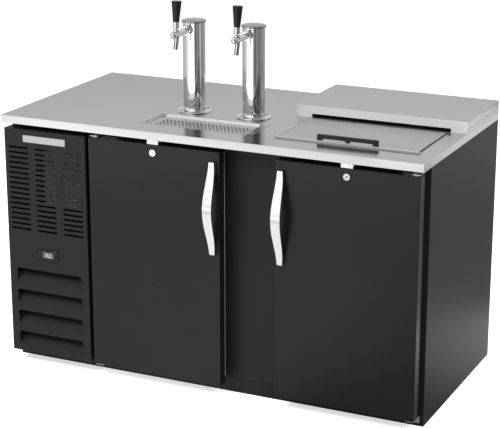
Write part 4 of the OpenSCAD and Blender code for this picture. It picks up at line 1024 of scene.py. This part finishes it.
@dataclass
class Controller(SubAssembly):
    """Temperature controller: bezel, window with a lit readout, lamp bar and four keys."""

    digit_w: float = 7.6
    digit_h: float = 12.6
    stroke: float = 1.35
    step: float = 11.0
    readout: str = "36.0"
    point_r: float = 1.1
    segment_t: float = 0.12
    # width, height and corner radius
    lamp: tuple[float, float, float] = (9.0, 2.0, 0.8)
    lamp_spot: tuple[float, float] = (29.0, 15.2)
    lamp_t: float = 0.2
    ink_t: float = 0.06
    # side and corner radius of the square sign
    square: tuple[float, float] = (2.6, 0.4)
    dot_r: float = 1.5
    # half width, foot and tip of an arrow
    arrow: tuple[float, float, float] = (1.7, -1.2, 1.5)
    # segments lit for each figure: t top, u upper right, v lower right, f foot, l lower left,
    # x upper left, m middle
    figures: dict[str, str] = field(default_factory=lambda: {"3": "tuvfm", "6": "tvflxm", "0": "tuvflx"})

    def dress(self) -> None:
        """Finishes of the controller's nodes."""
        self.shop.dress("controller_case", Finishes.BEZEL, edge_mm=0.4)
        self.shop.dress("display_lens", Finishes.ACRYLIC)
        for mark in Mark:
            self.shop.dress(f"key_{mark.value}", Finishes.BEZEL, edge_mm=0.3)

    def bar(self, start: tuple[float, float], end: tuple[float, float]) -> Outline:
        """Six-sided outline of one segment.

        Args:
            start: Middle of its first tip.
            end: Middle of its last tip.
        Returns:
            Its points.
        """
        a, b = Vector(start), Vector(end)
        along = (b - a).normalized() * self.stroke / 2
        across = Vector((-along.y, along.x))
        lower = (a, a + along - across, b - along - across)
        upper = (b, b - along + across, a + along + across)
        return [tuple(point) for point in lower + upper]

    def front(self, node: str) -> Matrix:
        """Plane in the middle of a node's front face."""
        low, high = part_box(node)
        return facing(((low.x + high.x) / 2 / MM, low.y / MM, (low.z + high.z) / 2 / MM), (0, -1, 0))

    def build(self) -> None:
        """Makes the readout, the lamp bar and the signs on the keys."""
        place = self.front("display_lens")
        w, h = self.digit_w / 2, self.digit_h / 2
        ends = {
            "t": ((-w, h), (w, h)), "u": ((w, h), (w, 0)), "v": ((w, 0), (w, -h)), "f": ((-w, -h), (w, -h)),
            "l": ((-w, 0), (-w, -h)), "x": ((-w, h), (-w, 0)), "m": ((-w, 0), (w, 0)),
        }
        shapes: list[Outline] = []
        digits = self.readout.replace(".", "")
        for n, figure in enumerate(digits):
            shift = (n - (len(digits) - 1) / 2) * self.step
            for name in self.figures[figure]:
                shapes.append([(x + shift, y) for x, y in self.bar(*ends[name])])
        shapes.append([(x + self.step / 2, y - h) for x, y in ring(self.point_r, steps=12)])
        mesh = self.plates(place, shapes, self.segment_t)
        self.shop.piece("temperature_readout", mesh, "cabinet", Finishes.DIGITS, "display_glass")
        right, up = self.lamp_spot
        lamp = [(x + right, y + up) for x, y in rounded(*self.lamp, steps=3)]
        mesh = self.plates(place, [lamp], self.lamp_t)
        self.shop.piece("alarm_lamp_bar", mesh, "cabinet", Finishes.RED_LAMP, "black_plastic")
        for mark in Mark:
            self.sign(mark)

    def plates(self, place: Matrix, shapes: Sequence[Outline], thick: float) -> BMesh:
        """Makes the mesh of some thin flat shapes.

        Args:
            place: Matrix of the surface they lie on.
            shapes: Outlines on that surface.
            thick: How far they stand proud.
        Returns:
            A new mesh.
        """
        mesh = bmesh.new()
        for shape in shapes:
            stack(mesh, place, [(shape, 0.0), (shape, thick)])
        return mesh

    def sign(self, mark: Mark) -> None:
        """Makes the sign on one key.

        Args:
            mark: Which key.
        """
        key = f"key_{mark.value}"
        side, corner = self.square
        half, foot, tip = self.arrow
        shape = {
            Mark.SQUARE: rounded(side, side, corner, steps=2),
            Mark.ROUND: ring(self.dot_r, steps=16),
            Mark.UP: [(-half, foot), (half, foot), (0.0, tip)],
            Mark.DOWN: [(-half, -foot), (0.0, -tip), (half, -foot)],
        }[mark]
        mesh = self.plates(self.front(key), [shape], self.ink_t)
        self.shop.piece(f"{key}_sign", mesh, key, Finishes.INK, "black_plastic")


@dataclass
class Machinery(SubAssembly):
    """Compressor, coils and fans behind the panel and inside the cold space."""

    def dress(self) -> None:
        """Finishes of the machinery's nodes."""
        self.shop.dress(["compressor", "fan_shroud"], Finishes.ENAMEL)
        self.shop.dress(["condenser_coil", "evaporator_coil"], Finishes.FINS)
        self.shop.dress("evaporator_cover", Finishes.STUCCO)
        self.shop.dress(["condenser_fan", "evaporator_fan"], Finishes.ABS)


@dataclass(frozen=True)
class Lamp:
    """A soft box: where it stands, where it points, its size in metres and its power."""

    name: str
    place: tuple[float, float, float]
    aim: tuple[float, float, float]
    size: tuple[float, float]
    watts: float


@dataclass(frozen=True)
class Screen:
    """A glowing sheet that only mirrors see; a light of 1 is white."""

    name: str

    def rows(self) -> Rows:
        """Points of its two edges with the light at each."""
        raise NotImplementedError


@dataclass(frozen=True)
class Band(Screen):
    """Screen all round the object: the radius and height of its two edges, and its light by bearing."""

    inner: tuple[float, float]
    outer: tuple[float, float]
    lights: tuple[float, ...]
    bearings: tuple[float, ...] = BEARINGS
    steps: int = 120

    def light(self, bearing: float) -> float:
        """Light at one bearing, drawn straight between the given ones.

        Args:
            bearing: From -180 to 180 degrees.
        Returns:
            Brightness there.
        """
        stops = list(zip(self.bearings, self.lights))
        for (low, first), (high, last) in zip(stops, stops[1:]):
            if bearing <= high:
                return first + (last - first) * (bearing - low) / (high - low)
        return self.lights[-1]

    def rows(self) -> Rows:
        """Points of its two edges with the light at each.

        Returns:
            The inner and the outer edge, each once round.
        """
        turns = [math.radians(360.0 * n / self.steps - 180.0) for n in range(self.steps + 1)]
        rows: Rows = []
        for radius, up in (self.inner, self.outer):
            row = []
            for turn in turns:
                spot = Vector((radius * math.sin(turn), -radius * math.cos(turn), up))
                row.append((spot, self.light(math.degrees(turn))))
            rows.append(row)
        return rows


@dataclass(frozen=True)
class Board(Screen):
    """Upright flat screen that faces the doors."""

    left: float
    right: float
    low: float
    high: float
    y: float
    glow: float

    def rows(self) -> Rows:
        """Points of its lower and upper edge with their light."""
        across = (self.left, self.right)
        return [[(Vector((x, self.y, z)), self.glow) for x in across] for z in (self.low, self.high)]


@dataclass
class Studio:
    """Pale floor and backdrop, soft boxes, screens and the camera."""

    lens: float = 118.1
    sensor: float = 36.0
    place: tuple[float, float, float] = (2.2885, -4.8691, 2.1679)
    turn: tuple[float, float, float] = (73.014, 0.0, 25.195)
    # light of the surroundings on dull faces, and as they are seen
    fill_light: float = 0.38
    seen_light: float = 1.0
    floor_half: float = 30.0
    floor_glow: float = 0.62
    floor_colour: str = "#e8e8e8"
    lamps: tuple[Lamp, ...] = (
        Lamp("key_box", (-2.4, -3.8, 4.8), (0.0, 0.0, 0.6), (3.0, 2.4), 360.0),
        Lamp("fill_box", (4.0, -2.0, 4.0), (0.2, 0.0, 0.6), (2.4, 2.4), 180.0),
        Lamp("top_box", (0.0, 0.6, 4.6), (0.0, 0.0, 0.8), (3.2, 2.2), 100.0),
    )
    screens: tuple[Screen, ...] = (
        Band(
            "foot_floor", (0.0, 0.0), (1.2, 0.0),
            (0.65, 0.8, 1.2, 1.3, 1.2, 0.9, 0.3, 0.4, 0.25, 0.6, 1.5, 1.6, 0.7),
        ),
        Band(
            "near_floor", (1.2, 0.0), (1.9, 0.0),
            (0.65, 0.8, 1.2, 1.3, 1.2, 0.65, 0.2, 0.4, 0.25, 0.35, 0.5, 0.6, 0.7),
        ),
        Band(
            "far_floor", (1.9, 0.0), (3.2, 0.0),
            (0.65, 0.7, 0.95, 1.0, 0.95, 0.55, 0.2, 0.4, 0.25, 0.35, 0.4, 0.45, 0.65),
        ),
        Band(
            "skirting", (3.2, 0.0), (3.2, 0.3),
            (0.6, 1.4, 2.1, 2.1, 1.7, 0.7, 0.2, 0.4, 0.25, 0.35, 0.85, 1.05, 0.65),
        ),
        Band(
            "wall_cloth", (3.2, 0.3), (3.2, 1.58),
            (0.58, 0.62, 1.1, 1.28, 1.2, 0.5, 0.12, 0.34, 0.16, 0.28, 0.33, 0.45, 0.58),
        ),
        Band(
            "dark_band", (3.2, 1.58), (3.2, 2.05),
            (0.74, 0.74, 0.25, 0.0, 0.0, 0.25, 0.74, 0.74), (-180, -110, -85, -60, 75, 95, 115, 180),
        ),
        Band(
            "high_sky", (3.2, 2.05), (2.8, 4.2),
            (0.74, 0.74, 0.5, 0.6, 1.2, 1.2, 0.45, 0.35, 0.74, 0.74),
            (-180, -125, -100, -70, -55, 5, 20, 115, 125, 180),
        ),
        Band(
            "ceiling", (2.8, 4.2), (0.0, 4.6),
            (0.6, 0.6, 1.35, 1.35, 0.6, 0.6), (-180, -80, -65, -15, 0, 180),
        ),
        Board("handle_board", -0.8, 0.35, 0.68, 1.08, -1.0, 1.55),
    )

    def build(self) -> None:
        """Makes the whole set."""
        bpy.context.scene.view_settings.view_transform = "Standard"
        self.camera()
        self.backdrop()
        for lamp in self.lamps:
            self.light(lamp)
        for screen in self.screens:
            self.card(screen)

    def camera(self) -> None:
        """Sets the camera at the photograph's own view."""
        data = bpy.data.cameras.new("view")
        data.lens = self.lens
        data.sensor_width = self.sensor
        made = bpy.data.objects.new("view", data)
        made.location = self.place
        made.rotation_euler = [math.radians(angle) for angle in self.turn]
        bpy.context.scene.collection.objects.link(made)
        bpy.context.scene.camera = made

    def light(self, lamp: Lamp) -> None:
        """Sets up one soft box.

        Args:
            lamp: Its place, aim, size and power.
        """
        data = bpy.data.lights.new(lamp.name, "AREA")
        data.shape = "RECTANGLE"
        data.size, data.size_y = lamp.size
        data.energy = lamp.watts
        made = bpy.data.objects.new(lamp.name, data)
        made.visible_glossy = False
        made.location = lamp.place
        made.rotation_euler = (Vector(lamp.aim) - Vector(lamp.place)).to_track_quat("-Z", "Y").to_euler()
        bpy.context.scene.collection.objects.link(made)

    def seen(self, tree: NodeTree) -> NodeSocket:
        """Tells rays that see the studio from those that only light dull faces.

        Args:
            tree: Node tree that asks.
        Returns:
            One for rays of the camera, of mirrors and of glass, and zero for others.
        """
        path = add_node(tree, "ShaderNodeLightPath").outputs
        either = path["Is Camera Ray"]
        for kind in ("Is Glossy Ray", "Is Transmission Ray"):
            pair: Inputs = {0: either, 1: path[kind]}
            either = add_node(tree, "ShaderNodeMath", pair, operation="MAXIMUM").outputs[0]
        return either

    def backdrop(self) -> None:
        """Makes the white surroundings and the floor that keeps the shadow."""
        world = bpy.data.worlds.new("white_room")
        bpy.context.scene.world = world
        tree = bare_tree(world)
        level = add_node(
            tree, "ShaderNodeMapRange", {"Value": self.seen(tree), 3: self.fill_light, 4: self.seen_light}
        ).outputs[0]
        around = add_node(tree, "ShaderNodeBackground", {"Color": linear(WHITE), "Strength": level})
        add_node(tree, "ShaderNodeOutputWorld", {"Surface": around.outputs[0]})

        # matt white paint: it takes the shadow, and shines for the camera so that it looks white
        paint = bpy.data.materials.new("white_floor_paint")
        tree = bare_tree(paint)
        power = add_node(
            tree, "ShaderNodeMath", {0: self.seen(tree), 1: self.floor_glow}, operation="MULTIPLY"
        ).outputs[0]
        glow = add_node(tree, "ShaderNodeEmission", {"Color": linear(WHITE), "Strength": power})
        matt = add_node(tree, "ShaderNodeBsdfDiffuse", {"Color": linear(self.floor_colour)})
        both = add_node(tree, "ShaderNodeAddShader", {0: glow.outputs[0], 1: matt.outputs[0]})
        add_node(tree, "ShaderNodeOutputMaterial", {"Surface": both.outputs[0]})
        mesh = bmesh.new()
        bmesh.ops.create_grid(mesh, x_segments=1, y_segments=1, size=self.floor_half)
        floor = new_object("studio_floor", mesh, paint)
        floor.visible_glossy = False

    def card(self, screen: Screen) -> None:
        """Sets one screen in the studio.

        Args:
            screen: Its edges and its light.
        """
        mesh = bmesh.new()
        light = mesh.verts.layers.float.new("light")
        rows = []
        for edge in screen.rows():
            row = []
            for point, level in edge:
                spot = mesh.verts.new(point)
                spot[light] = level
                row.append(spot)
            rows.append(row)
        first, last = rows
        for n in range(len(first) - 1):
            mesh.faces.new((first[n], first[n + 1], last[n + 1], last[n]))
        # white cloth lit from behind: a soft glow that changes from corner to corner
        cloth = bpy.data.materials.new(screen.name)
        tree = bare_tree(cloth)
        level = add_node(tree, "ShaderNodeAttribute", attribute_name="light").outputs["Fac"]
        glow = add_node(tree, "ShaderNodeEmission", {"Color": linear(WHITE), "Strength": level})
        add_node(tree, "ShaderNodeOutputMaterial", {"Surface": glow.outputs[0]})
        made = new_object(screen.name, mesh, cloth)
        made.visible_camera = False
        made.visible_diffuse = False
        made.visible_shadow = False
        made.visible_transmission = False


def main() -> None:
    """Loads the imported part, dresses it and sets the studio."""
    logging.basicConfig(level=logging.INFO, format="%(name)s: %(message)s")
    shop = Workshop(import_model())
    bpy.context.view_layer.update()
    parts = [
        Cabinet(shop), Worktop(shop), DripTray(shop), TapTowers(shop), Door(shop, Side.LEFT),
        Door(shop, Side.RIGHT), GrillePanel(shop), Controller(shop), Machinery(shop),
    ]
    for part in parts:
        part.dress()
        part.build()
    Studio().build()


if __name__ == "__main__":
    main()
